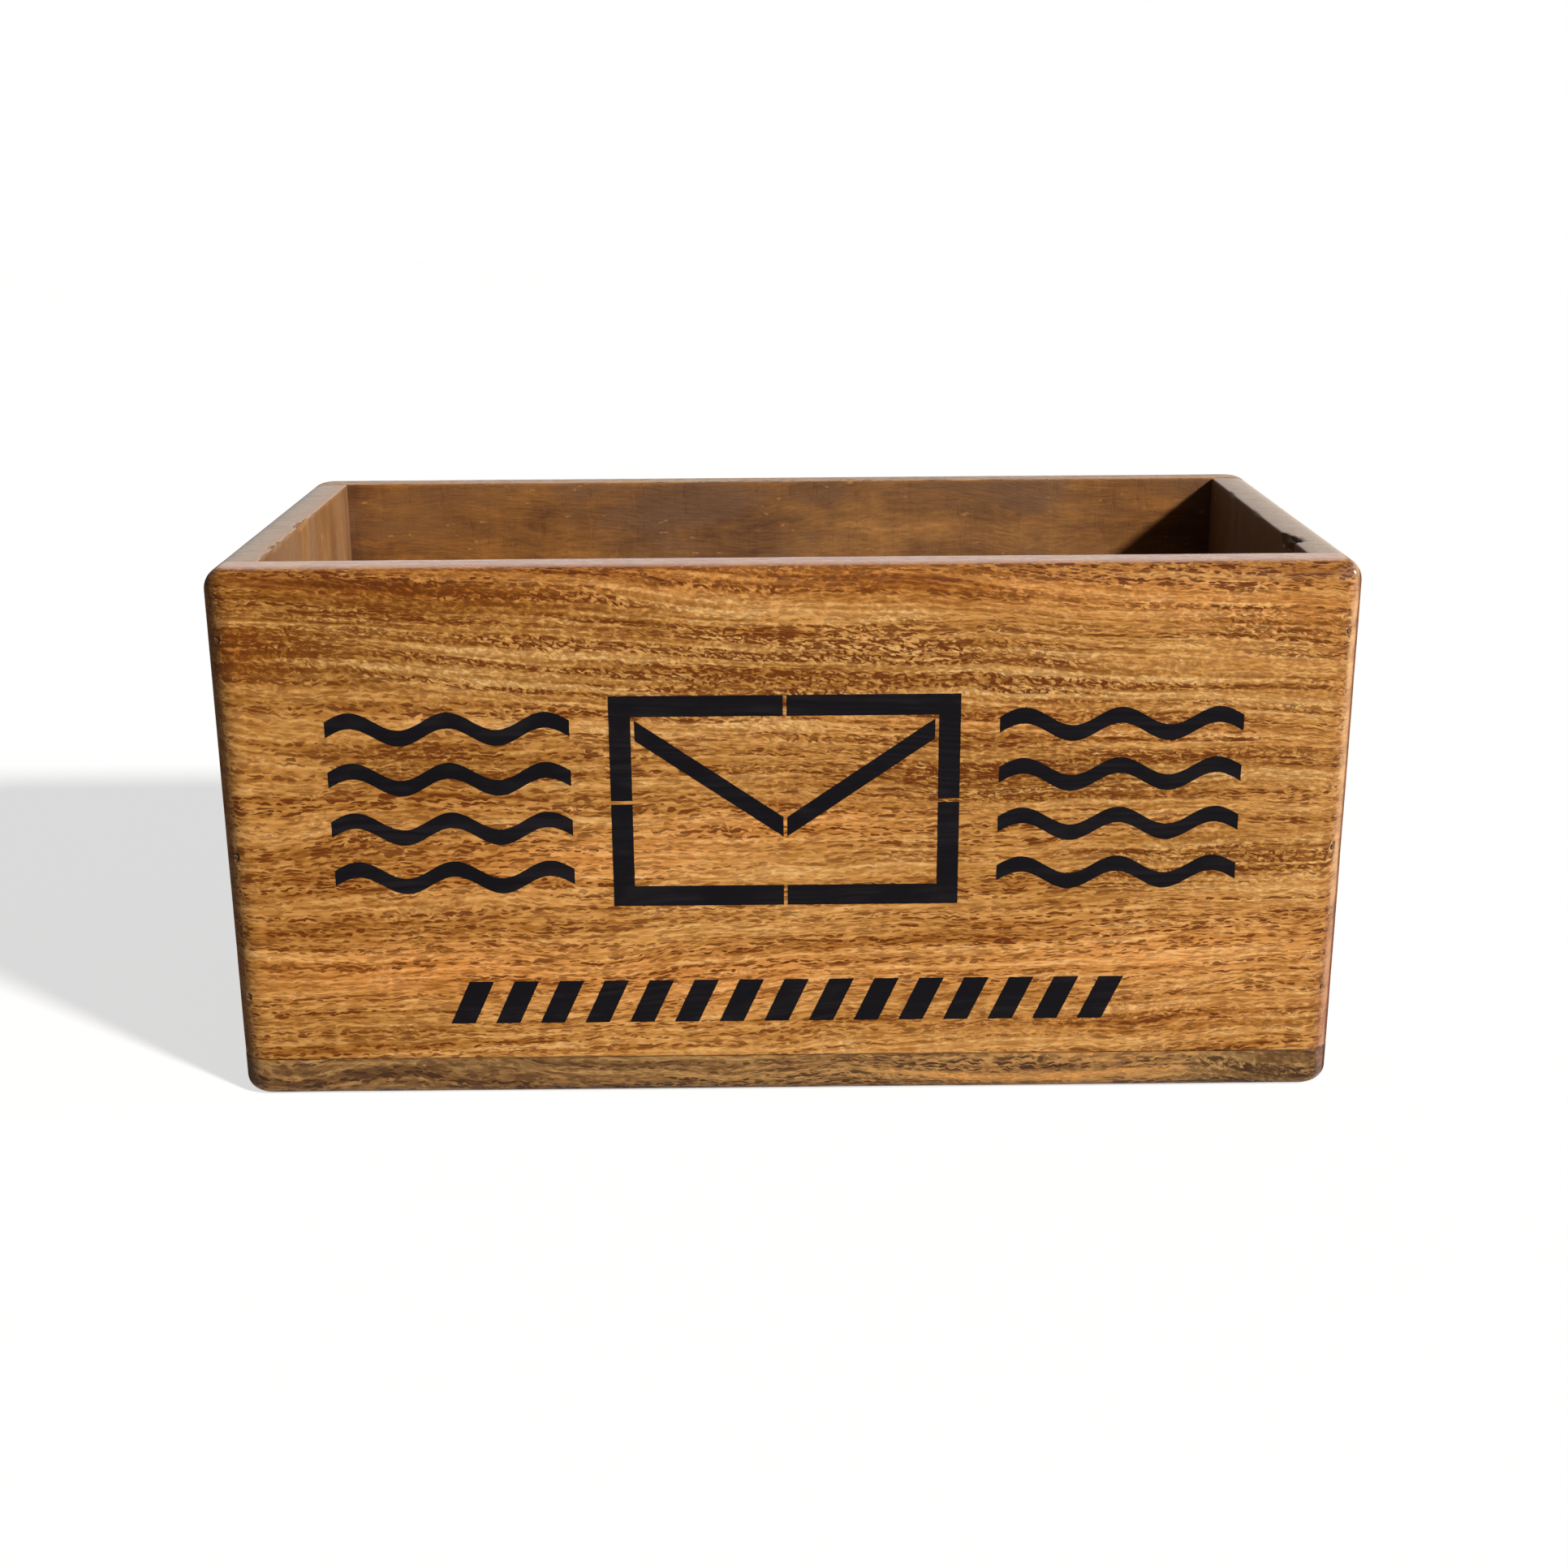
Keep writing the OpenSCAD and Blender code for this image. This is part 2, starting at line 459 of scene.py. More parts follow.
# Left rim greyer and darker outside and tan towards the inside; right inner face darker, a painted shade
END_PATCHES = (
    (-160, 157, 11, 30, -0.6, 0.0, 0.0),
    (-145, 157, 5, 30, -0.1, 0.0, 1.0),
    (146, 75, 5, 120, -1.4, 0.0, 0.5),
)
BACK_PATCHES = (
    (-110, 120, 75, 60, 0.12, 0.0, 1.0),
    (-125, 148, 30, 9, -0.25, 0.0, 0.3),
    (-28, 140, 26, 22, -0.25, 0.0, -0.9),
    (60, 130, 50, 40, 0.2, 0.0, 0.1),
    (128, 130, 26, 60, 0.15, 0.0, 0.9),
)
BASE_PATCHES = (
    (-70, 6, 90, 14, -0.45, 0.0, -0.3),
    (-110, 9, 60, 3, -0.5, 0.0, -0.2),
    (-100, 3, 60, 3, 0.2, 0.0, 0.2),
    (-20, 7, 50, 4, 0.1, 0.0, 0.1),
    (60, 5, 40, 5, 0.5, 0.2, 0.3),
    (105, 8, 20, 5, 0.5, 0.0, 0.2),
    (140, 6, 20, 12, -0.7, 0.6, -0.7),
)


def patch_sums(places, patches):
    """Lightness, speckle and warmth at each place, summed over soft patches that follow the grain"""
    sums = np.zeros((len(places), 3))
    for x, z, half_w, half_h, *amounts in patches:
        dx = (places[:, 0] - x * MM) / (half_w * MM)
        slope = FRONT_SLOPES[1] if z > 100 else FRONT_SLOPES[0]
        dz = (places[:, 2] - z * MM + slope * (places[:, 0] - x * MM)) / (half_h * MM)
        sums += np.exp(-(dx ** 2 + dz ** 2))[:, None] * np.array(amounts)
    return sums


def board_lines(name, shape):
    """The places of the mesh lines of one board along X, Y and Z"""
    low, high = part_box(name)
    half_w, half_d, height = CAD_BOX[1]
    corner, rim, foot = shape.corner_radius, shape.rim_radius, shape.foot_radius
    lines = []
    halves = (half_w, half_d)
    for axis in range(3):
        step = shape.mesh_step
        if axis == 1 and "end" in name:
            step = 0.9 * MM
        places = graded(low[axis], high[axis], shape.fine_step, step)
        if axis < 2:
            for side in (-1, 1):
                places += arc_places(side * (halves[axis] - corner), corner, side)
                places += arc_places(side * (halves[axis] - rim), rim, side)
                places += arc_places(side * (halves[axis] - foot), foot, side)
        else:
            places += arc_places(height - rim, rim, 1) + arc_places(foot, foot, -1)
        lines.append(merged(places, low[axis], high[axis], 0.3 * MM))
    return low, high, lines


def outer_sides(low, high):
    """Which of a board's sides lie on the outside of the box"""
    result = set()
    for axis in range(3):
        if abs(low[axis] - CAD_BOX[0][axis]) < 1e-5:
            result.add((axis, 0))
        if abs(high[axis] - CAD_BOX[1][axis]) < 1e-5:
            result.add((axis, 1))
    return result


def nook_depth(places):
    """Nearness to the corners where the walls and the base meet inside, from 0 to 1, which masks the painted shade
    there
    """
    wall_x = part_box("right_end_board")[0][0]
    wall_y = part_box("back_board")[0][1]
    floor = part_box("base_board")[1][2]
    gaps = np.stack([
        wall_x - np.abs(places[:, 0]), wall_y - np.abs(places[:, 1]), places[:, 2] - floor
    ], axis=1)
    gaps = np.sort(np.abs(gaps), axis=1)
    return np.exp(-gaps[:, 1] / (7 * MM))


def shaped_board(name, shape, seed, inner_side, carve=None):
    """One board: softened, rounded and waved like a planed and sanded one, in place of its CAD node"""
    low, high, lines = board_lines(name, shape)
    points, quads, sides = lattice_shell(lines)
    outer = outer_sides(low, high)
    points = soften_arrises(points, low, high, outer, shape)
    points = rounded_over(points, shape)
    obj = new_object(name.replace("board", "plank"), points, quads)
    mesh = obj.data
    places = vertex_places(mesh)
    normals = vertex_normals(mesh)
    axis, end = inner_side
    inward = np.zeros(3)
    inward[axis] = 1 if end else -1
    inside = (normals @ inward) > 0.7
    away = np.abs(places[:, axis] - (high if end else low)[axis]) < 1.5 * MM
    inside = inside & away
    touching = np.zeros(len(places), bool)
    for side in ((a, e) for a in range(3) for e in (0, 1)):
        if side not in outer and side != inner_side:
            face = (high if side[1] else low)[side[0]]
            touching |= np.abs(places[:, side[0]] - face) < 0.05 * MM
    wave = np.where(
        inside,
        shape.saw_wave * wavy(places, np.array([11, 11, 26]) * MM, seed + 5),
        shape.sanding_wave * wavy(places, np.array([34, 30, 14]) * MM, seed),
    )
    wave[touching] = 0
    wave = np.minimum(wave, 0.0)
    places = places + normals * wave[:, None]
    if carve:
        whole = places
        places = carve(whole)
        depth = np.linalg.norm(places - whole, axis=1)
        set_attribute(mesh, "torn", np.minimum(depth / (0.5 * MM), 1.0))
    place_vertices(mesh, places)
    for polygon, side in zip(mesh.polygons, sides):
        polygon.material_index = 1 if side == inner_side else 0
    return obj


def finish_board(obj, name, patches=()):
    """Stores what the materials read, and puts the board in the place of its CAD node"""
    mesh = obj.data
    places = vertex_places(mesh)
    set_attribute(mesh, "nook_shade", nook_depth(places))
    sums = patch_sums(places, patches)
    for column, attribute in enumerate(("lightness", "speckle", "warmth")):
        set_attribute(mesh, attribute, sums[:, column])
    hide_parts(name)
    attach(obj, BODY)


def brad_dimples(shape, front):
    """Cutters for the dimples round the brad ends of one long board"""
    cutters = []
    way = -1 if front else 1
    for name in BRADS:
        if name.startswith("front") != front:
            continue
        for low, high in node_solids(name):
            x, z = (low[0] + high[0]) / 2, (low[2] + high[2]) / 2
            face = low[1] if front else high[1]
            cutters.append(rod(
                "dimple", (x, face + way * 3 * MM, z), (x, face - way * shape.dimple_depth, z), shape.brad_dimple
            ))
    return cutters


def gouge(places, y, depth, span, drop, seed):
    """A torn-out chip in the inner edge of an end board's rim; depth and drop follow X and Z"""
    side = np.sign(places[:, 0].mean())
    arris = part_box("right_end_board")[0][0] * side
    top = CAD_BOX[1][2]
    near = (np.abs(places[:, 1] - y) < 2 * span) & (places[:, 2] > top - 3 * drop)
    ragged = wavy(places[near], np.array([2.2, 2.2, 2.2]) * MM, seed, 3)
    radii = np.array([depth, span, drop])
    result = places.copy()
    scaled = radii * (1 + 0.28 * ragged[:, None])
    target = places[near]
    q = (target - np.array([arris, y, top])) / scaled
    way = np.array([side, 0, -0.9])
    way /= np.linalg.norm(way)
    w = way / scaled
    a = (w * w).sum(axis=1)
    b = (q * w).sum(axis=1)
    c = (q * q).sum(axis=1) - 1
    travel = np.where(c < 0, (-b + np.sqrt(np.maximum(b * b - a * c, 0))) / a, 0)
    result[near] = target + travel[:, None] * way
    return result


def torn_rim(side):
    """Carves the chips in the inner rim edge of the left or right end board"""
    chips = {
        1: ((-45, 3.4, 5.5, 5.0, 1), (-38, 1.6, 3.0, 3.0, 2), (-2, 0.6, 6.0, 0.6, 3), (34, 0.7, 5.0, 0.8, 10)),
        -1: (
            (-56, 0.8, 5.0, 0.6, 4), (-44, 1.6, 3.2, 1.3, 5), (-38, 0.9, 3.0, 0.8, 6), (-27, 0.6, 5.0, 0.5, 7),
            (-9, 1.9, 5.0, 1.5, 8), (-2, 1.0, 3.5, 0.9, 9), (9, 0.5, 6.0, 0.4, 11), (30, 0.5, 8.0, 0.4, 12),
        ),
    }

    def carve(places):
        for y, depth, span, drop, seed in chips[side]:
            places = gouge(places, y * MM, depth * MM, span * MM, drop * MM, seed)
        return places

    return carve


# Node trees

def put(tree, kind, inputs=None, **settings):
    """Adds a node; inputs maps an input's name or number to a value or to another node's socket"""
    node = tree.nodes.new(kind)
    for key, value in settings.items():
        setattr(node, key, value)
    for key, value in (inputs or {}).items():
        socket = node.inputs[key]
        if isinstance(value, bpy.types.NodeSocket):
            tree.links.new(value, socket)
        else:
            socket.default_value = value
    return node


def maths(tree, operation, one, two=0.0, clamp=False):
    """The outcome of one Math node"""
    return put(tree, "ShaderNodeMath", {0: one, 1: two}, operation=operation, use_clamp=clamp).outputs[0]


def ramp(tree, value, start, end, low=0.0, high=1.0):
    """A smooth step of a value from start to end"""
    return put(
        tree, "ShaderNodeMapRange",
        {"Value": value, "From Min": start, "From Max": end, "To Min": low, "To Max": high},
        interpolation_type="SMOOTHSTEP",
    ).outputs["Result"]


def stretched(tree, vector, along, across, thick=None, turn=(0, 0, 0)):
    """Coordinates in which one unit is the given size along X, across Z and through Y, after a turn"""
    return put(
        tree, "ShaderNodeMapping",
        {"Vector": vector, "Rotation": turn, "Scale": (along, thick or across, across)},
        vector_type="TEXTURE",
    ).outputs["Vector"]


def speckle(tree, vector, detail=2.0, roughness=0.5, distortion=0.0):
    """Noise around 0.5"""
    return put(
        tree, "ShaderNodeTexNoise",
        {"Vector": vector, "Scale": 1.0, "Detail": detail, "Roughness": roughness, "Distortion": distortion},
    ).outputs["Fac"]


def strokes(tree, vector, along, across, thick, least, most):
    """Separate short strokes along X, one to a cell, each of its own size between least and most"""
    cell = put(
        tree, "ShaderNodeTexVoronoi", {"Vector": stretched(tree, vector, along, across, thick), "Scale": 1.0}
    ).outputs
    chance = put(tree, "ShaderNodeSeparateColor", {0: cell["Color"]}).outputs[0]
    reach = maths(tree, "ADD", maths(tree, "MULTIPLY", chance, most - least), least)
    return ramp(tree, maths(tree, "SUBTRACT", cell["Distance"], reach), 0.05, -0.07)


def blended(tree, factor, one, two, blend_type="MIX"):
    """Two colours mixed by a factor"""
    node = put(
        tree, "ShaderNodeMix", {"Factor": factor}, data_type="RGBA", blend_type=blend_type, clamp_factor=True
    )
    for socket, value in ((node.inputs[6], one), (node.inputs[7], two)):
        if isinstance(value, bpy.types.NodeSocket):
            tree.links.new(value, socket)
        else:
            socket.default_value = (*value, 1.0)
    return node.outputs[2]


def effect(name, inputs, outputs):
    """A new node group with named sockets; gives the tree, its inputs and a function that sets its outputs"""
    tree = bpy.data.node_groups.new(name, "ShaderNodeTree")
    for label, kind, value in inputs:
        socket = tree.interface.new_socket(label, in_out="INPUT", socket_type=kind)
        if value is not None:
            socket.default_value = value
    for label in outputs:
        tree.interface.new_socket(label, in_out="OUTPUT", socket_type="NodeSocketFloat")
    given = tree.nodes.new("NodeGroupInput").outputs
    result = tree.nodes.new("NodeGroupOutput")

    def give(label, socket):
        tree.links.new(socket, result.inputs[label])

    return tree, given, give


def use_group(tree, name, inputs):
    """Places a node group and gives its outputs"""
    node = put(tree, "ShaderNodeGroup", node_tree=bpy.data.node_groups[name])
    for key, value in inputs.items():
        if isinstance(value, bpy.types.NodeSocket):
            tree.links.new(value, node.inputs[key])
        else:
            node.inputs[key].default_value = value
    return node.outputs


def grain_group():
    """Long-grain figure of an open-pored hardwood, with X along the grain"""
    tree, given, give = effect(
        "Wood grain",
        [
            ("Vector", "NodeSocketVector", None),
            ("Seed", "NodeSocketFloat", 0.0),
            ("Slope low", "NodeSocketFloat", 0.0),
            ("Slope high", "NodeSocketFloat", 0.0),
            ("Wander", "NodeSocketFloat", 0.012),
            ("Ripple", "NodeSocketFloat", 0.0009),
        ],
        ["Band", "Belt", "Strand", "Fibre", "Grit", "Mottle", "Pores", "Ticks", "Dots"],
    )
    seeded = put(
        tree, "ShaderNodeCombineXYZ", {0: given["Seed"], 1: given["Seed"], 2: given["Seed"]}
    ).outputs[0]
    moved = put(tree, "ShaderNodeVectorMath", {0: given["Vector"], 1: seeded}, operation="ADD").outputs[0]
    drift = speckle(tree, stretched(tree, moved, 90 * MM, 40 * MM), 2.0)
    ripple = speckle(tree, stretched(tree, moved, 8 * MM, 5 * MM), 1.0)
    level = put(tree, "ShaderNodeSeparateXYZ", {0: given["Vector"]}).outputs
    slope = ramp(tree, level[2], 30 * MM, 150 * MM, given["Slope low"], given["Slope high"])
    fall = maths(tree, "MULTIPLY", level[0], slope)
    parts = put(tree, "ShaderNodeSeparateXYZ", {0: moved}).outputs
    sway = maths(tree, "MULTIPLY", maths(tree, "SUBTRACT", drift, 0.5), given["Wander"])
    small = maths(tree, "MULTIPLY", maths(tree, "SUBTRACT", ripple, 0.5), given["Ripple"])
    z = maths(tree, "ADD", maths(tree, "ADD", parts[2], fall), maths(tree, "ADD", sway, small))
    grain = put(tree, "ShaderNodeCombineXYZ", {0: parts[0], 1: parts[1], 2: z}).outputs[0]
    give("Band", speckle(tree, stretched(tree, grain, 240 * MM, 8 * MM, 30 * MM), 3.0, 0.6))
    strand = speckle(tree, stretched(tree, grain, 70 * MM, 1.25 * MM, 4 * MM), 2.0, 0.5)
    give("Strand", ramp(tree, strand, 0.34, 0.66))
    fibre = speckle(tree, stretched(tree, grain, 4.8 * MM, 0.7 * MM, 2 * MM), 1.0, 0.5)
    give("Fibre", ramp(tree, fibre, 0.34, 0.66))
    grit = speckle(tree, stretched(tree, grain, 1.7 * MM, 1.2 * MM), 1.0, 0.5)
    give("Grit", ramp(tree, grit, 0.34, 0.66))
    give("Mottle", speckle(tree, stretched(tree, grain, 16 * MM, 9 * MM), 3.0, 0.6))
    wiggle = speckle(tree, stretched(tree, grain, 2.6 * MM, 1.6 * MM), 1.0)
    wiggle = maths(tree, "MULTIPLY", maths(tree, "SUBTRACT", wiggle, 0.5), 1.6 * MM)
    bent = put(tree, "ShaderNodeCombineXYZ", {0: parts[0], 1: parts[1], 2: maths(tree, "ADD", z, wiggle)}).outputs[0]
    long_pore = strokes(tree, bent, 7.0 * MM, 0.85 * MM, 1.6 * MM, 0.15, 0.54)
    short_pore = strokes(tree, bent, 3.2 * MM, 0.8 * MM, 1.2 * MM, 0.15, 0.5)
    fine_pore = strokes(tree, bent, 4.6 * MM, 0.62 * MM, 1.0 * MM, 0.1, 0.5)
    fine_pore = maths(tree, "MULTIPLY", fine_pore, 0.6)
    give("Pores", maths(tree, "MAXIMUM", fine_pore, maths(tree, "MAXIMUM", long_pore, short_pore)))
    belt = speckle(tree, stretched(tree, grain, 130 * MM, 3.2 * MM, 20 * MM), 2.0, 0.5)
    give("Belt", ramp(tree, belt, 0.36, 0.6))
    tick = speckle(tree, stretched(tree, grain, 3.0 * MM, 0.85 * MM, turn=(0, 0.3, 0)), 1.0, 0.5)
    give("Ticks", ramp(tree, tick, 0.50, 0.62))
    dot = speckle(tree, stretched(tree, grain, 1.3 * MM, 1.1 * MM), 1.0, 0.5)
    give("Dots", ramp(tree, dot, 0.52, 0.64))


def rub_group():
    """Where handling and sanding have rubbed a board: its round-overs and arrises, broken up by noise"""
    tree, given, give = effect(
        "Rubbed edges",
        [
            ("Normal", "NodeSocketVector", None),
            ("Vector", "NodeSocketVector", None),
            ("Amount", "NodeSocketFloat", 1.0),
        ],
        ["Rub"],
    )
    parts = put(
        tree, "ShaderNodeSeparateXYZ",
        {0: put(tree, "ShaderNodeVectorMath", {0: given["Normal"]}, operation="ABSOLUTE").outputs[0]},
    ).outputs
    flat = maths(tree, "MAXIMUM", maths(tree, "MAXIMUM", parts[0], parts[1]), parts[2])
    bend = ramp(tree, maths(tree, "SUBTRACT", 1.0, flat), 0.02, 0.2)
    patchy = ramp(tree, speckle(tree, stretched(tree, given["Vector"], 9 * MM, 9 * MM), 4.0, 0.6), 0.36, 0.62)
    give("Rub", maths(tree, "MULTIPLY", maths(tree, "MULTIPLY", bend, patchy), given["Amount"]))


def saw_group():
    """Rough sawn or scraped wood: fine ridges across the grain, with torn fibres"""
    tree, given, give = effect(
        "Sawn surface",
        [("Vector", "NodeSocketVector", None), ("Ridge", "NodeSocketFloat", 0.0012)],
        ["Ridges", "Torn"],
    )
    inverse = maths(tree, "DIVIDE", 1.0, given["Ridge"])
    scaled = put(tree, "ShaderNodeVectorMath", {0: given["Vector"], "Scale": inverse}, operation="SCALE").outputs[0]
    ridges = put(
        tree, "ShaderNodeMapping", {"Vector": scaled, "Rotation": (0, 0.12, 0.06), "Scale": (1.0, 1.0, 0.09)}
    ).outputs[0]
    give("Ridges", speckle(tree, ridges, 3.0, 0.6))
    torn = put(tree, "ShaderNodeMapping", {"Vector": scaled, "Scale": (0.35, 0.35, 0.12)}).outputs[0]
    give("Torn", ramp(tree, speckle(tree, torn, 4.0, 0.65), 0.55, 0.72))


def material(name):
    """A new material; gives it with its tree, shader, object coordinates and object normals"""
    result = bpy.data.materials.new(name)
    result.use_nodes = True
    tree = result.node_tree
    tree.nodes.clear()
    shader = put(tree, "ShaderNodeBsdfPrincipled")
    output = put(tree, "ShaderNodeOutputMaterial")
    tree.links.new(shader.outputs["BSDF"], output.inputs["Surface"])
    coordinates = put(tree, "ShaderNodeTexCoord").outputs
    return result, tree, shader, coordinates["Object"], coordinates["Normal"]


def attribute(tree, name):
    return put(tree, "ShaderNodeAttribute", attribute_name=name).outputs["Fac"]


def weighted(tree, centre, *terms):
    """centre plus each (value around its middle, middle, weight)"""
    total = centre
    for value, middle, weight in terms:
        offset = maths(tree, "SUBTRACT", value, middle)
        total = maths(tree, "ADD", maths(tree, "MULTIPLY", offset, weight), total)
    return total


def tones(tree, value, stops):
    """A colour ramp through the given (place, colour) stops"""
    node = put(tree, "ShaderNodeValToRGB", {"Fac": value})
    band = node.color_ramp
    while len(band.elements) < len(stops):
        band.elements.new(1.0)
    for element, (place, shade) in zip(band.elements, stops):
        element.position = place
        element.color = (*shade, 1.0)
    return node.outputs["Color"]


def bump(tree, shader, height, strength, distance):
    node = put(tree, "ShaderNodeBump", {"Height": height, "Strength": strength, "Distance": distance})
    tree.links.new(node.outputs["Normal"], shader.inputs["Normal"])


def lacquered(name, stops, pore, end_tone, top_tone, seed, slopes=(0.0, 0.0), wander=0.012, sheen=1.0, highlight_amount=1.0):
    """Stained and lacquered board: bands, strands, fibres, pores and ticks in the stain, with painted shade and a
    painted highlight on its bends and a partly painted sheen on its top
    """
    result, tree, shader, place, normal = material(name)
    grain = use_group(
        tree, "Wood grain",
        {"Vector": place, "Seed": seed, "Slope low": slopes[0], "Slope high": slopes[1], "Wander": wander},
    )
    rub = use_group(tree, "Rubbed edges", {"Normal": normal, "Vector": place, "Amount": 1.0})["Rub"]
    flecked = weighted(tree, 0.12, (attribute(tree, "speckle"), 0.0, 1.0), (grain["Mottle"], 0.5, 1.7))
    flecked = ramp(tree, flecked, 0.0, 0.8)
    fibre = put(
        tree, "ShaderNodeMix", {0: flecked, 2: grain["Fibre"], 3: grain["Grit"]}, data_type="FLOAT"
    ).outputs[0]
    lightness = weighted(
        tree, 0.595,
        (grain["Band"], 0.5, 0.36),
        (grain["Belt"], 0.5, 0.12),
        (grain["Strand"], 0.5, ramp(tree, flecked, 0.0, 1.0, 0.18, 0.28)),
        (fibre, 0.5, 0.2),
        (grain["Mottle"], 0.5, 0.3),
        (attribute(tree, "lightness"), 0.0, 0.20),
        (flecked, 0.0, 0.02),
        (rub, 0.0, 0.06),
    )
    base = tones(tree, lightness, stops)
    warm = blended(tree, 1.0, base, (1.10, 0.95, 0.78), "MULTIPLY")
    cool = blended(tree, 1.0, base, (0.92, 1.02, 0.98), "MULTIPLY")
    warmth = ramp(tree, attribute(tree, "warmth"), -0.6, 0.9)
    base = blended(tree, warmth, cool, warm)
    pored = maths(tree, "MULTIPLY", ramp(tree, grain["Band"], 0.66, 0.42, 0.65, 1.0), ramp(tree, grain["Belt"], 1.0, 0.4, 0.55, 1.0))
    pores = maths(tree, "MULTIPLY", grain["Pores"], pored)
    flecks = maths(tree, "MAXIMUM", grain["Ticks"], grain["Dots"])
    streaked = ramp(tree, grain["Belt"], 0.9, 0.3, 0.4, 1.0)
    flecks = maths(tree, "MULTIPLY", maths(tree, "MULTIPLY", flecks, flecked), streaked)
    dark = maths(tree, "MAXIMUM", pores, flecks)
    base = blended(tree, dark, base, pore)
    turned = put(tree, "ShaderNodeSeparateXYZ", {
        0: put(tree, "ShaderNodeVectorMath", {0: normal}, operation="ABSOLUTE").outputs[0]
    }).outputs
    end_grain = ramp(tree, turned[0], 0.45, 0.9)
    rings = speckle(tree, stretched(tree, place, 0.9 * MM, 5 * MM, 0.9 * MM), 3.0, 0.6)
    ends = tones(tree, rings, ((0.3, stops[0][1]), (0.5, end_tone), (0.7, stops[2][1])))
    base = blended(tree, maths(tree, "MULTIPLY", end_grain, 0.65), base, ends)
    facing = put(tree, "ShaderNodeSeparateXYZ", {0: normal}).outputs
    right, rise = facing[0], facing[2]
    # Painted shade: darker where the face turns a little to the right, towards the key light
    base = blended(tree, ramp(tree, right, 0.03, 0.3), base, (0.76, 0.73, 0.70), "MULTIPLY")
    # Painted highlight: a patchy lighter line along the right bend, mixed towards the lightest stain tone
    wear_and_highlight = maths(tree, "MULTIPLY", ramp(tree, right, 0.5, 0.68), ramp(tree, right, 0.9, 0.76))
    wear_and_highlight = maths(tree, "MULTIPLY", wear_and_highlight, ramp(tree, grain["Mottle"], 0.4, 0.6, 0.1 * highlight_amount, 0.5 * highlight_amount))
    base = blended(tree, wear_and_highlight, base, stops[4][1])
    shaded = ramp(tree, right, -0.35, -0.9)
    bend_only = ramp(tree, right, -0.995, -0.965, 0.25, 0.5)
    base = blended(tree, maths(tree, "MULTIPLY", shaded, bend_only), base, tuple(c * 0.5 for c in stops[0][1]))
    low_down = ramp(tree, put(tree, "ShaderNodeSeparateXYZ", {0: place}).outputs[2], 85 * MM, 30 * MM)
    low_down = maths(tree, "MULTIPLY", low_down, ramp(tree, right, 0.3, 0.55))
    base = blended(tree, low_down, base, (0.70, 0.58, 0.62), "MULTIPLY")
    # Painted shade: the outermost part of the right bend, which faces the key light, made darker
    edge = ramp(tree, right, 0.76, 0.86)
    base = blended(tree, edge, base, (0.56, 0.46, 0.50), "MULTIPLY")
    upward = ramp(tree, rise, 0.9, 0.98)
    base = blended(tree, ramp(tree, rise, 0.1, 0.4), base, (0.72, 0.66, 0.56), "MULTIPLY")
    # Where the board faces up, the top tone, which on the front and back boards is partly a painted sheen
    base = blended(tree, maths(tree, "MULTIPLY", upward, 0.5), base, top_tone)
    tree.links.new(base, shader.inputs["Base Color"])
    rough = weighted(tree, 0.48, (grain["Fibre"], 0.5, 0.25), (dark, 0.0, 0.12))
    tree.links.new(rough, shader.inputs["Roughness"])
    quiet = maths(tree, "MAXIMUM", shaded, ramp(tree, right, 0.7, 0.9))
    tree.links.new(ramp(tree, quiet, 0.0, 1.0, 0.16, 0.01), shader.inputs["Specular IOR Level"])
    coat = ramp(tree, rise, 0.9, 0.985, 0.0, maths(tree, "MULTIPLY", 0.7, sheen))
    bend = maths(tree, "MULTIPLY", ramp(tree, right, 0.42, 0.58), ramp(tree, right, 0.84, 0.7, 0.0, 0.5))
    coat = maths(tree, "MAXIMUM", coat, bend)
    tree.links.new(coat, shader.inputs["Coat Weight"])
    shader.inputs["Coat Roughness"].default_value = 0.14
    height = weighted(tree, 0.5, (grain["Fibre"], 0.5, 0.5), (dark, 0.0, -0.6))
    bump(tree, shader, height, 0.35, 0.12 * MM)
    return result


def turned_grain(tree, place, order):
    """Coordinates reordered so that X runs along a board's grain and Z across its broad face"""
    parts = put(tree, "ShaderNodeSeparateXYZ", {0: place}).outputs
    return put(tree, "ShaderNodeCombineXYZ", {i: parts["XYZ".index(axis)] for i, axis in enumerate(order)}).outputs[0]


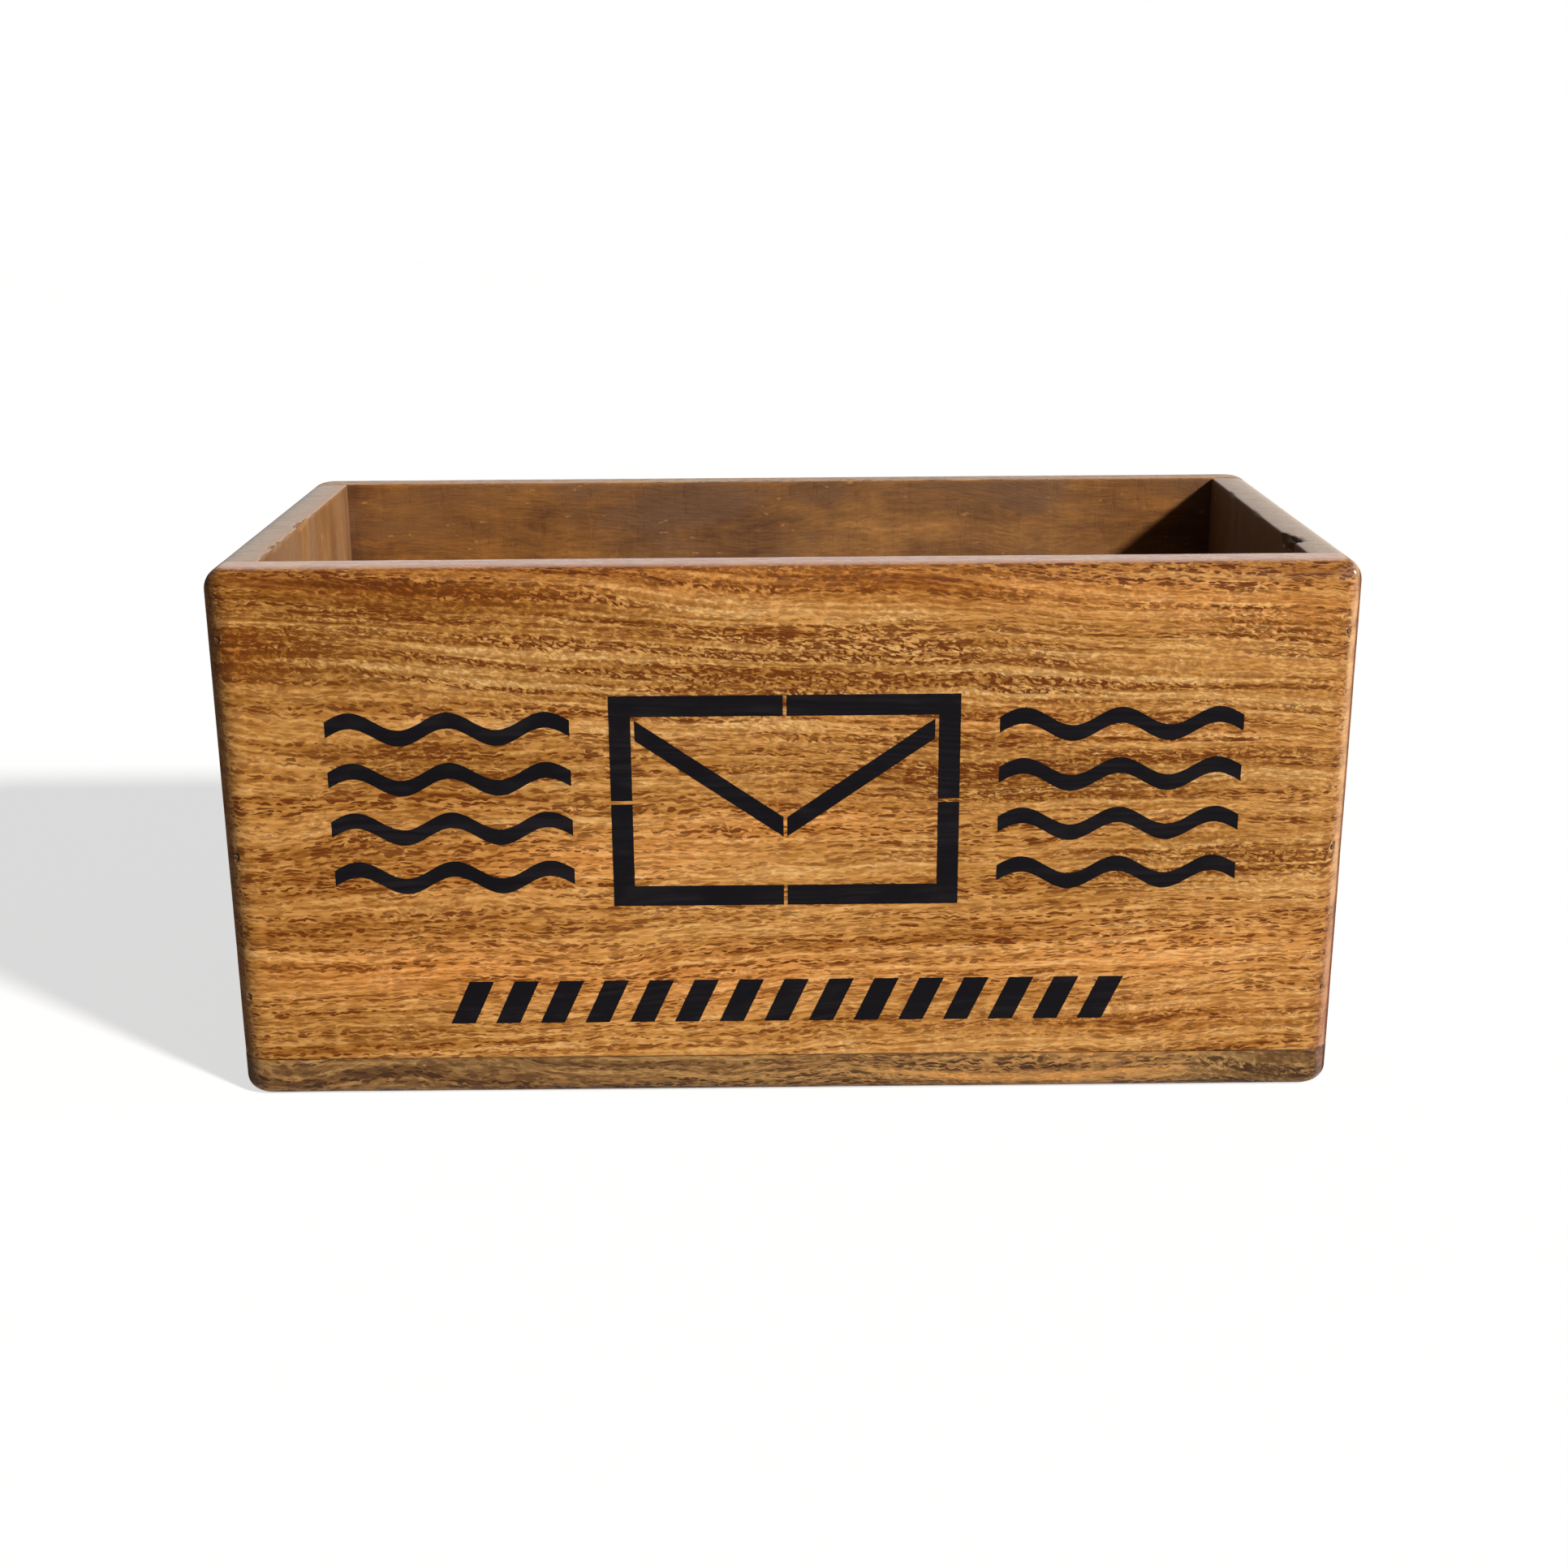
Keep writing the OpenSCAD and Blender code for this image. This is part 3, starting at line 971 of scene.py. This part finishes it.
def thin_stained(name, light, dark, seed, order, streak, saw, cloudy=0.9):
    """The inside: sawn wood with a thin stain, wiped on in blotches, with painted shade in the nooks"""
    result, tree, shader, place, normal = material(name)
    along = turned_grain(tree, place, order)
    grain = use_group(tree, "Wood grain", {"Vector": along, "Seed": seed, "Wander": 0.03})
    sawn = use_group(tree, "Sawn surface", {"Vector": place, "Ridge": saw})
    cloud = speckle(tree, stretched(tree, along, 70 * MM, 36 * MM), 4.0, 0.55, 0.6)
    smear = speckle(tree, stretched(tree, along, 26 * MM, 9 * MM), 4.0, 0.6, 0.4)
    drips = speckle(tree, stretched(tree, place, 5 * MM, 70 * MM, 5 * MM), 3.0, 0.6)
    lightness = weighted(
        tree, 0.5,
        (cloud, 0.5, cloudy),
        (smear, 0.5, 1.3 * cloudy),
        (drips, 0.5, streak),
        (grain["Band"], 0.5, 0.4),
        (grain["Strand"], 0.5, 0.06),
        (grain["Fibre"], 0.5, 0.1),
        (sawn["Ridges"], 0.5, 0.08),
        # Painted shade: darker near the inside corners where the walls and the base meet
        (attribute(tree, "nook_shade"), 0.0, -0.6),
        (attribute(tree, "lightness"), 0.0, 0.5),
    )
    middle = tuple((a + b) / 2 for a, b in zip(light, dark))
    pale = tuple(min(1.0, c * 1.5) for c in light)
    base = tones(tree, lightness, ((0.15, dark), (0.5, middle), (0.8, light), (1.0, pale)))
    olive = ramp(tree, speckle(tree, stretched(tree, along, 60 * MM, 26 * MM), 3.0, 0.6, 0.5), 0.45, 0.62)
    greyed = tuple(c * f for c, f in zip(middle, (0.80, 0.92, 1.5)))
    base = blended(tree, maths(tree, "MULTIPLY", olive, 0.75), base, greyed)
    warm = blended(tree, 1.0, base, (1.16, 1.04, 0.68), "MULTIPLY")
    base = blended(tree, ramp(tree, attribute(tree, "warmth"), 0.0, 1.0), base, warm)
    dents = maths(tree, "MULTIPLY", sawn["Torn"], 0.2)
    base = blended(tree, dents, base, dark)
    chips = ramp(tree, speckle(tree, stretched(tree, along, 5 * MM, 2.2 * MM), 2.0, 0.5), 0.69, 0.76)
    base = blended(tree, maths(tree, "MULTIPLY", chips, 0.6), base, pale)
    pores = maths(tree, "MULTIPLY", grain["Pores"], 0.2)
    base = blended(tree, pores, base, dark)
    tree.links.new(base, shader.inputs["Base Color"])
    rough = weighted(tree, 0.66, (grain["Fibre"], 0.5, 0.12))
    tree.links.new(rough, shader.inputs["Roughness"])
    shader.inputs["Specular IOR Level"].default_value = 0.2
    height = weighted(tree, 0.5, (sawn["Ridges"], 0.5, 0.3), (sawn["Torn"], 0.0, -0.4), (grain["Fibre"], 0.5, 0.2))
    bump(tree, shader, height, 0.5, 0.35 * MM)
    return result


def end_board_finish(name, finish, seed):
    """Outside of an end board: upright grain with lacquer, and a sawn grey rim of end grain that is partly a painted
    sheen
    """
    result, tree, shader, place, normal = material(name)
    along = stretched(tree, turned_grain(tree, place, "ZXY"), 2.2, 0.9, 1.0)
    grain = use_group(tree, "Wood grain", {"Vector": along, "Seed": seed, "Wander": 0.02})
    rub = use_group(tree, "Rubbed edges", {"Normal": normal, "Vector": place, "Amount": 1.0})["Rub"]
    sawn = use_group(tree, "Sawn surface", {"Vector": place, "Ridge": 1.1 * MM})
    lightness = weighted(
        tree, 0.5, (grain["Band"], 0.5, 1.0), (grain["Mottle"], 0.5, 0.4), (grain["Strand"], 0.5, 0.2),
        (grain["Fibre"], 0.5, 0.17), (rub, 0.0, 0.1),
    )
    base = tones(tree, lightness, (
        (0.1, finish.umber), (0.34, finish.chestnut), (0.52, finish.amber), (0.72, finish.gold), (0.92, finish.honey)
    ))
    dark = maths(tree, "MULTIPLY", grain["Pores"], ramp(tree, grain["Band"], 0.66, 0.36, 0.25, 0.6))
    base = blended(tree, dark, base, finish.pore)
    rise = put(tree, "ShaderNodeSeparateXYZ", {0: normal}).outputs[2]
    # The rim's grey is partly weathered end grain and partly a painted sheen
    top = ramp(tree, rise, 0.35, 0.85)
    cross = speckle(tree, stretched(tree, place, 7 * MM, 3 * MM, 0.7 * MM), 4.0, 0.6)
    dots = ramp(tree, speckle(tree, stretched(tree, place, 0.8 * MM, 0.8 * MM), 2.0, 0.5), 0.56, 0.68)
    pale = tuple(min(1, c * 1.3) for c in finish.sawn_grey)
    dull = tuple(c * f for c, f in zip(finish.sawn_grey, (0.50, 0.49, 0.46)))
    grey = tones(
        tree, weighted(
            tree, 0.55, (cross, 0.5, 1.4), (sawn["Ridges"], 0.5, 0.4), (attribute(tree, "lightness"), 0.0, 0.5)
        ),
        ((0.1, dull), (0.5, finish.sawn_grey), (0.85, pale)),
    )
    grey = blended(tree, maths(tree, "MULTIPLY", dots, 0.3), grey, dull)
    grey = blended(tree, maths(tree, "MULTIPLY", attribute(tree, "warmth"), 0.8), grey, finish.end_light)
    base = blended(tree, top, base, grey)
    splinters = speckle(tree, stretched(tree, along, 5 * MM, 0.7 * MM, 0.7 * MM), 3.0, 0.6)
    bare = tones(tree, splinters, (
        (0.3, tuple(c * 0.35 for c in finish.torn)), (0.55, finish.torn), (0.75, finish.sawn_grey)
    ))
    torn = ramp(tree, attribute(tree, "torn"), 0.1, 0.6)
    base = blended(tree, torn, base, bare)
    tree.links.new(base, shader.inputs["Base Color"])
    rough = weighted(tree, 0.44, (maths(tree, "MAXIMUM", top, torn), 0.0, 0.3), (grain["Fibre"], 0.5, 0.1))
    tree.links.new(rough, shader.inputs["Roughness"])
    shader.inputs["Specular IOR Level"].default_value = 0.3
    tree.links.new(maths(tree, "MULTIPLY", top, 0.5), shader.inputs["Coat Weight"])
    shader.inputs["Coat Roughness"].default_value = 0.3
    height = weighted(
        tree, 0.5, (maths(tree, "MULTIPLY", cross, top), 0.0, 1.2), (grain["Fibre"], 0.5, 0.4), (dark, 0.0, -0.4)
    )
    bump(tree, shader, height, 0.5, 0.3 * MM)
    return result


def steel_wire(finish):
    """Filed ends of drawn wire, with tarnish round them"""
    result, tree, shader, place, normal = material("Steel wire")
    tarnish = ramp(tree, speckle(tree, stretched(tree, place, 0.5 * MM, 0.5 * MM), 3.0, 0.6), 0.42, 0.62)
    tree.links.new(blended(tree, tarnish, finish.steel, finish.rust), shader.inputs["Base Color"])
    tree.links.new(ramp(tree, tarnish, 0.0, 1.0, 0.28, 0.7), shader.inputs["Roughness"])
    tree.links.new(ramp(tree, tarnish, 0.0, 1.0, 1.0, 0.35), shader.inputs["Metallic"])
    scratch = speckle(tree, stretched(tree, place, 0.9 * MM, 0.08 * MM), 2.0)
    bump(tree, shader, scratch, 0.3, 0.02 * MM)
    return result


def stencil_paint(finish):
    """Thin black paint that has sunk a little into the grain"""
    result, tree, shader, place, normal = material("Stencil paint")
    grain = use_group(
        tree, "Wood grain",
        {"Vector": place, "Seed": 2.0, "Slope low": FRONT_SLOPES[0], "Slope high": FRONT_SLOPES[1]},
    )
    wear_and_highlight = maths(tree, "MULTIPLY", grain["Strand"], ramp(tree, grain["Mottle"], 0.35, 0.65))
    wear_and_highlight = maths(tree, "MULTIPLY", wear_and_highlight, 0.35)
    tree.links.new(blended(tree, wear_and_highlight, finish.paint, finish.paint_worn), shader.inputs["Base Color"])
    rough = weighted(tree, 0.5, (grain["Fibre"], 0.5, 0.3))
    tree.links.new(rough, shader.inputs["Roughness"])
    shader.inputs["Specular IOR Level"].default_value = 0.08
    height = weighted(tree, 0.5, (grain["Fibre"], 0.5, 0.6), (grain["Pores"], 0.0, -0.4))
    bump(tree, shader, height, 0.35, 0.1 * MM)
    return result


# Stencil marks

def outline_strip(points, closed=True, step=1.0, jitter=0.07, seed=0):
    """Points about step millimetres apart round an outline, each a little off the line as dabbed paint is"""
    ring = list(points)
    result = []
    count = len(ring) if closed else len(ring) - 1
    for i in range(count):
        a, b = Vector(ring[i]), Vector(ring[(i + 1) % len(ring)])
        pieces = max(1, round((b - a).length / step))
        for k in range(pieces):
            p = a.lerp(b, k / pieces)
            wobble = noise.noise_vector(Vector((p.x * 0.8 + seed, p.y * 0.8, seed * 1.7)))
            result.append((p.x + jitter * wobble.x, p.y + jitter * wobble.y))
    return result


def paint_patch(bm, outline, face_y, film):
    """Adds one closed patch of paint: a flat film with its sides sunk into the wood"""
    sunk = 0.3 * MM
    front = [bm.verts.new((x * MM, face_y - film, z * MM)) for x, z in outline]
    back = [bm.verts.new((x * MM, face_y + sunk, z * MM)) for x, z in outline]
    bm.faces.new(front)
    bm.faces.new(back[::-1])
    count = len(outline)
    for i in range(count):
        j = (i + 1) % count
        bm.faces.new((front[j], front[i], back[i], back[j]))


def stencil_object(name, outlines):
    """One mesh of several patches of paint on the front board"""
    scene = bpy.context.scene
    shape = scene.letter_box_shape
    face_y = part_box("front_board")[0][1]
    bm = bmesh.new()
    for seed, outline in enumerate(outlines):
        paint_patch(bm, outline_strip(outline, seed=seed), face_y, shape.paint_film)
    bmesh.ops.recalc_face_normals(bm, faces=bm.faces)
    mesh = bpy.data.meshes.new(name)
    bm.to_mesh(mesh)
    bm.free()
    obj = bpy.data.objects.new(name, mesh)
    scene.collection.objects.link(obj)
    mesh.materials.append(bpy.data.materials["Stencil paint"])
    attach(obj, BODY)
    return obj


# Envelope mark, in millimetres from its own middle
ENVELOPE_MIDDLE = (0.0, 90.0)
ENVELOPE_HALF = (49.0, 31.0)
ENVELOPE_BAR = 6.0
STENCIL_GAP = 1.1


def envelope_outlines():
    """A plain envelope: a frame in four bars and a flap in two, with the gaps that a stencil needs"""
    cx, cz = ENVELOPE_MIDDLE
    w, h = ENVELOPE_HALF
    t, g = ENVELOPE_BAR, STENCIL_GAP / 2
    outlines = []
    for side in (-1, 1):
        outlines.append([
            (cx + side * g, cz - h), (cx + side * w, cz - h), (cx + side * w, cz - g), (cx + side * (w - t), cz - g),
            (cx + side * (w - t), cz - h + t), (cx + side * g, cz - h + t),
        ])
        outlines.append([
            (cx + side * g, cz + h), (cx + side * w, cz + h), (cx + side * w, cz + g), (cx + side * (w - t), cz + g),
            (cx + side * (w - t), cz + h - t), (cx + side * g, cz + h - t),
        ])
    return outlines


def flap_outlines():
    """The envelope's flap: two slanted bars that meet below the middle"""
    cx, cz = ENVELOPE_MIDDLE
    w, h = ENVELOPE_HALF
    t, g = ENVELOPE_BAR, STENCIL_GAP
    top = cz + h - t - g
    tip = cz - 5.0
    outlines = []
    for side in (-1, 1):
        start = cx + side * (w - t - g)
        slope = (top - tip) / (abs(start - cx))
        rise = t * (1 + slope ** 2) ** 0.5
        inner_x = cx + side * g / 2
        inner_z = tip + slope * g / 2
        outlines.append([
            (start, top), (inner_x, inner_z), (inner_x, inner_z - rise + 1.5), (start, top - rise + 1.5)
        ])
    return outlines


def wave_outlines():
    """Rows of wavy bars on both sides of the envelope"""
    outlines = []
    rows, bar, gap = 4, 4.6, 14.6
    start, end, waves, swing = 60.0, 128.0, 2.5, 2.6
    for side in (-1, 1):
        for row in range(rows):
            z = ENVELOPE_MIDDLE[1] + (row - (rows - 1) / 2) * gap
            steps = 48
            upper, lower = [], []
            for i in range(steps + 1):
                x = start + (end - start) * i / steps
                dz = swing * sin(2 * pi * waves * i / steps)
                upper.append((side * x, z + dz + bar / 2))
                lower.append((side * x, z + dz - bar / 2))
            outlines.append(upper + lower[::-1])
    return outlines


def slash_outlines():
    """A row of slanted bars along the foot of the front"""
    outlines = []
    count, pitch, width, low, high, lean = 15, 13.0, 7.0, 23.0, 36.0, 6.0
    for i in range(count):
        x = (i - (count - 1) / 2) * pitch
        outlines.append([
            (x - width / 2 - lean / 2, low), (x + width / 2 - lean / 2, low),
            (x + width / 2 + lean / 2, high), (x - width / 2 + lean / 2, high),
        ])
    return outlines


# Operators

class LETTERBOX_OT_finishes(bpy.types.Operator):
    """Make the shared effects and the materials"""

    bl_idname = "letter_box.finishes"
    bl_label = "Finishes"

    def execute(self, context):
        finish = context.scene.letter_box_finish
        grain_group()
        rub_group()
        saw_group()
        honeyed = ((0.1, finish.umber), (0.34, finish.chestnut), (0.52, finish.amber), (0.72, finish.gold),
                   (0.92, finish.honey))
        lacquered("Front lacquer", honeyed, finish.pore, finish.end_grain, finish.rubbed_top_and_sheen, 2.0, FRONT_SLOPES)
        lacquered(
            "Back lacquer", honeyed, finish.pore, finish.end_grain, finish.back_top, 5.0, (0.03, -0.04), sheen=0.3
        )
        browned = ((0.1, finish.base_umber), (0.34, finish.base_dark), (0.52, finish.base_brown),
                   (0.72, finish.base_light), (0.92, finish.gold))
        lacquered(
            "Base lacquer", browned, finish.base_umber, finish.base_dark, finish.base_brown, 9.0, (0.02, 0.02), 0.02,
            highlight_amount=0.15,
        )
        thin_stained("Long board inside", finish.inside_light, finish.inside_dark, 3.0, "XYZ", 0.3, 1.3 * MM)
        thin_stained("End board inside", finish.end_light, finish.end_dark, 4.0, "ZXY", 0.3, 1.6 * MM)
        thin_stained("Base inside", finish.inside_light, finish.inside_dark, 8.0, "XZY", 0.0, 1.4 * MM, cloudy=0.7)
        end_board_finish("End board outside", finish, 6.0)
        steel_wire(finish)
        stencil_paint(finish)
        return {"FINISHED"}


class LETTERBOX_OT_long_boards(bpy.types.Operator):
    """Shape the front and back boards"""

    bl_idname = "letter_box.long_boards"
    bl_label = "Front and back boards"

    def execute(self, context):
        shape = context.scene.letter_box_shape
        for name, seed, inner_side, outside in (
            ("front_board", 1, (1, 1), "Front lacquer"),
            ("back_board", 11, (1, 0), "Back lacquer"),
        ):
            obj = shaped_board(name, shape, seed, inner_side)
            cut_away(obj, brad_dimples(shape, name == "front_board"))
            obj.data.materials.append(bpy.data.materials[outside])
            obj.data.materials.append(bpy.data.materials["Long board inside"])
            finish_board(obj, name, FRONT_PATCHES if name == "front_board" else BACK_PATCHES)
        return {"FINISHED"}


class LETTERBOX_OT_end_boards(bpy.types.Operator):
    """Shape the two end boards with their torn rims"""

    bl_idname = "letter_box.end_boards"
    bl_label = "End boards"

    def execute(self, context):
        shape = context.scene.letter_box_shape
        for name, seed, inner_side, side in (
            ("left_end_board", 21, (0, 1), -1),
            ("right_end_board", 31, (0, 0), 1),
        ):
            obj = shaped_board(name, shape, seed, inner_side, torn_rim(side))
            obj.data.materials.append(bpy.data.materials["End board outside"])
            obj.data.materials.append(bpy.data.materials["End board inside"])
            finish_board(obj, name, END_PATCHES)
        return {"FINISHED"}


class LETTERBOX_OT_base_board(bpy.types.Operator):
    """Shape the base board with the holes of its pins"""

    bl_idname = "letter_box.base_board"
    bl_label = "Base board"

    def execute(self, context):
        shape = context.scene.letter_box_shape
        obj = shaped_board("base_board", shape, 41, (2, 1))
        cutters = []
        for name in BASE_PINS:
            for low, high in node_solids(name):
                x, y = (low[0] + high[0]) / 2, (low[1] + high[1]) / 2
                cutters.append(rod("pin_hole", (x, y, -3 * MM), (x, y, 2 * MM), 1.6 * MM))
        cut_away(obj, cutters)
        obj.data.materials.append(bpy.data.materials["Base lacquer"])
        obj.data.materials.append(bpy.data.materials["Base inside"])
        finish_board(obj, "base_board", BASE_PATCHES)
        return {"FINISHED"}


class LETTERBOX_OT_brads(bpy.types.Operator):
    """Give the brads and base pins their steel"""

    bl_idname = "letter_box.brads"
    bl_label = "Brads and base pins"

    def execute(self, context):
        for name in BRADS + BASE_PINS:
            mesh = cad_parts[name].data
            mesh.materials.clear()
            mesh.materials.append(bpy.data.materials["Steel wire"])
        return {"FINISHED"}


class LETTERBOX_OT_stencil_marks(bpy.types.Operator):
    """Paint the plain stencil marks on the front"""

    bl_idname = "letter_box.stencil_marks"
    bl_label = "Stencil marks"

    def execute(self, context):
        stencil_object("stencil_envelope", envelope_outlines() + flap_outlines())
        stencil_object("stencil_waves", wave_outlines())
        stencil_object("stencil_slashes", slash_outlines())
        return {"FINISHED"}


# The side of the room that gloss shows as white, as a direction
ROOM_BRIGHT_SIDE = (0.8, 0.5, 0.33)


class LETTERBOX_OT_stage(bpy.types.Operator):
    """Set up the floor, the lights, the room and the camera"""

    bl_idname = "letter_box.stage"
    bl_label = "Stage"

    def execute(self, context):
        settings = context.scene.letter_box_stage
        self.floor()
        self.key_light(settings)
        self.window(settings)
        self.room(settings)
        self.camera(settings)
        context.scene.view_settings.view_transform = "Standard"
        return {"FINISHED"}

    def floor(self):
        half = 4.0
        corners = [(-half, -half, 0), (half, -half, 0), (half, half, 0), (-half, half, 0)]
        obj = new_object("floor", corners, [(0, 1, 2, 3)])
        result = bpy.data.materials.new("Pale floor")
        result.use_nodes = True
        tree = result.node_tree
        tree.nodes.clear()
        matt = put(tree, "ShaderNodeBsdfDiffuse", {"Color": (0.4, 0.4, 0.4, 1.0)})
        glow = put(tree, "ShaderNodeEmission", {"Color": (1, 1, 1, 1)})
        path = put(tree, "ShaderNodeLightPath").outputs
        seen = maths(tree, "MAXIMUM", path["Is Camera Ray"], path["Is Glossy Ray"])
        seen = maths(tree, "MAXIMUM", seen, path["Is Transmission Ray"])
        across = put(tree, "ShaderNodeSeparateXYZ", {0: put(tree, "ShaderNodeNewGeometry").outputs["Position"]})
        mirrored = ramp(tree, across.outputs[0], -1.0, 0.2, 0.0, 0.67)
        level = put(
            tree, "ShaderNodeMix", {0: path["Is Glossy Ray"], 2: 0.67, 3: mirrored}, data_type="FLOAT"
        ).outputs[0]
        tree.links.new(maths(tree, "MULTIPLY", seen, level), glow.inputs["Strength"])
        both = put(tree, "ShaderNodeAddShader", {0: matt.outputs[0], 1: glow.outputs[0]})
        output = put(tree, "ShaderNodeOutputMaterial")
        tree.links.new(both.outputs[0], output.inputs["Surface"])
        obj.data.materials.append(result)

    def key_light(self, settings):
        lamp = bpy.data.lights.new("key", "SUN")
        lamp.angle = settings.key_spread
        lamp.energy = settings.key_strength
        lamp.color = (1.0, 0.98, 0.95)
        self.hang(lamp, settings.key_bearing, settings.key_height, 1.0, Vector())

    def window(self, settings):
        lamp = bpy.data.lights.new("window", "AREA")
        lamp.size = settings.window_size
        lamp.energy = settings.window_power
        corner = Vector((CAD_BOX[1][0], CAD_BOX[0][1], CAD_BOX[1][2]))
        obj = self.hang(
            lamp, settings.window_bearing, settings.window_height, settings.window_distance, corner
        )
        obj.visible_diffuse = False
        obj.visible_camera = False

    def hang(self, lamp, bearing, height, distance, aim):
        """Places a lamp at a bearing to the right of the front and an angle up, aimed back at a point"""
        obj = bpy.data.objects.new(lamp.name, lamp)
        bpy.context.scene.collection.objects.link(obj)
        way = Vector((cos(height) * sin(bearing), -cos(height) * cos(bearing), sin(height)))
        obj.location = aim + way * distance
        obj.rotation_euler = way.to_track_quat("Z", "Y").to_euler()
        return obj

    def room(self, settings):
        world = bpy.data.worlds.new("Room")
        bpy.context.scene.world = world
        world.use_nodes = True
        tree = world.node_tree
        tree.nodes.clear()
        path = put(tree, "ShaderNodeLightPath").outputs
        facing = put(tree, "ShaderNodeTexCoord").outputs["Generated"]
        depth = put(tree, "ShaderNodeVectorMath", {0: facing, 1: ROOM_BRIGHT_SIDE}, operation="DOT_PRODUCT").outputs[1]
        backdrop = ramp(tree, depth, -0.4, 0.5, settings.room_behind, 1.0)
        glossy = maths(tree, "MAXIMUM", path["Is Glossy Ray"], path["Is Transmission Ray"])
        strength = put(
            tree, "ShaderNodeMix", {0: glossy, 2: settings.fill, 3: backdrop}, data_type="FLOAT"
        ).outputs[0]
        strength = put(
            tree, "ShaderNodeMix", {0: path["Is Camera Ray"], 2: strength, 3: 1.0}, data_type="FLOAT"
        ).outputs[0]
        light = put(tree, "ShaderNodeBackground", {"Color": (1, 1, 1, 1), "Strength": strength})
        output = put(tree, "ShaderNodeOutputWorld")
        tree.links.new(light.outputs[0], output.inputs["Surface"])

    def camera(self, settings):
        data = bpy.data.cameras.new("camera")
        data.lens = settings.camera_lens
        data.sensor_width = 36.0
        obj = bpy.data.objects.new("camera", data)
        bpy.context.scene.collection.objects.link(obj)
        obj.location = settings.camera_place
        obj.rotation_euler = settings.camera_turn
        bpy.context.scene.camera = obj


STEPS = (
    LETTERBOX_OT_stage,
    LETTERBOX_OT_finishes,
    LETTERBOX_OT_long_boards,
    LETTERBOX_OT_end_boards,
    LETTERBOX_OT_base_board,
    LETTERBOX_OT_brads,
    LETTERBOX_OT_stencil_marks,
)


class LETTERBOX_PT_panel(bpy.types.Panel):
    """Lists the steps that make the letter box"""

    bl_label = "Letter Box"
    bl_idname = "LETTERBOX_PT_panel"
    bl_space_type = "VIEW_3D"
    bl_region_type = "UI"
    bl_category = "Letter Box"

    def draw(self, context):
        for step in STEPS:
            self.layout.operator(step.bl_idname)
        for group in (context.scene.letter_box_shape, context.scene.letter_box_finish, context.scene.letter_box_stage):
            box = self.layout.box()
            for name in group.bl_rna.properties.keys():
                if name not in ("rna_type", "name"):
                    box.prop(group, name)


GROUPS = (
    ("letter_box_shape", LetterBoxShape),
    ("letter_box_finish", LetterBoxFinish),
    ("letter_box_stage", LetterBoxStage),
)


def register():
    for name, group in GROUPS:
        bpy.utils.register_class(group)
        setattr(bpy.types.Scene, name, bpy.props.PointerProperty(type=group))
    for step in STEPS:
        bpy.utils.register_class(step)
    bpy.utils.register_class(LETTERBOX_PT_panel)


def unregister():
    bpy.utils.unregister_class(LETTERBOX_PT_panel)
    for step in reversed(STEPS):
        bpy.utils.unregister_class(step)
    for name, group in reversed(GROUPS):
        delattr(bpy.types.Scene, name)
        bpy.utils.unregister_class(group)


def main():
    """Runs every step in order"""
    register()
    for step in STEPS:
        space, name = step.bl_idname.split(".")
        getattr(getattr(bpy.ops, space), name)()


if __name__ == "__main__":
    main()
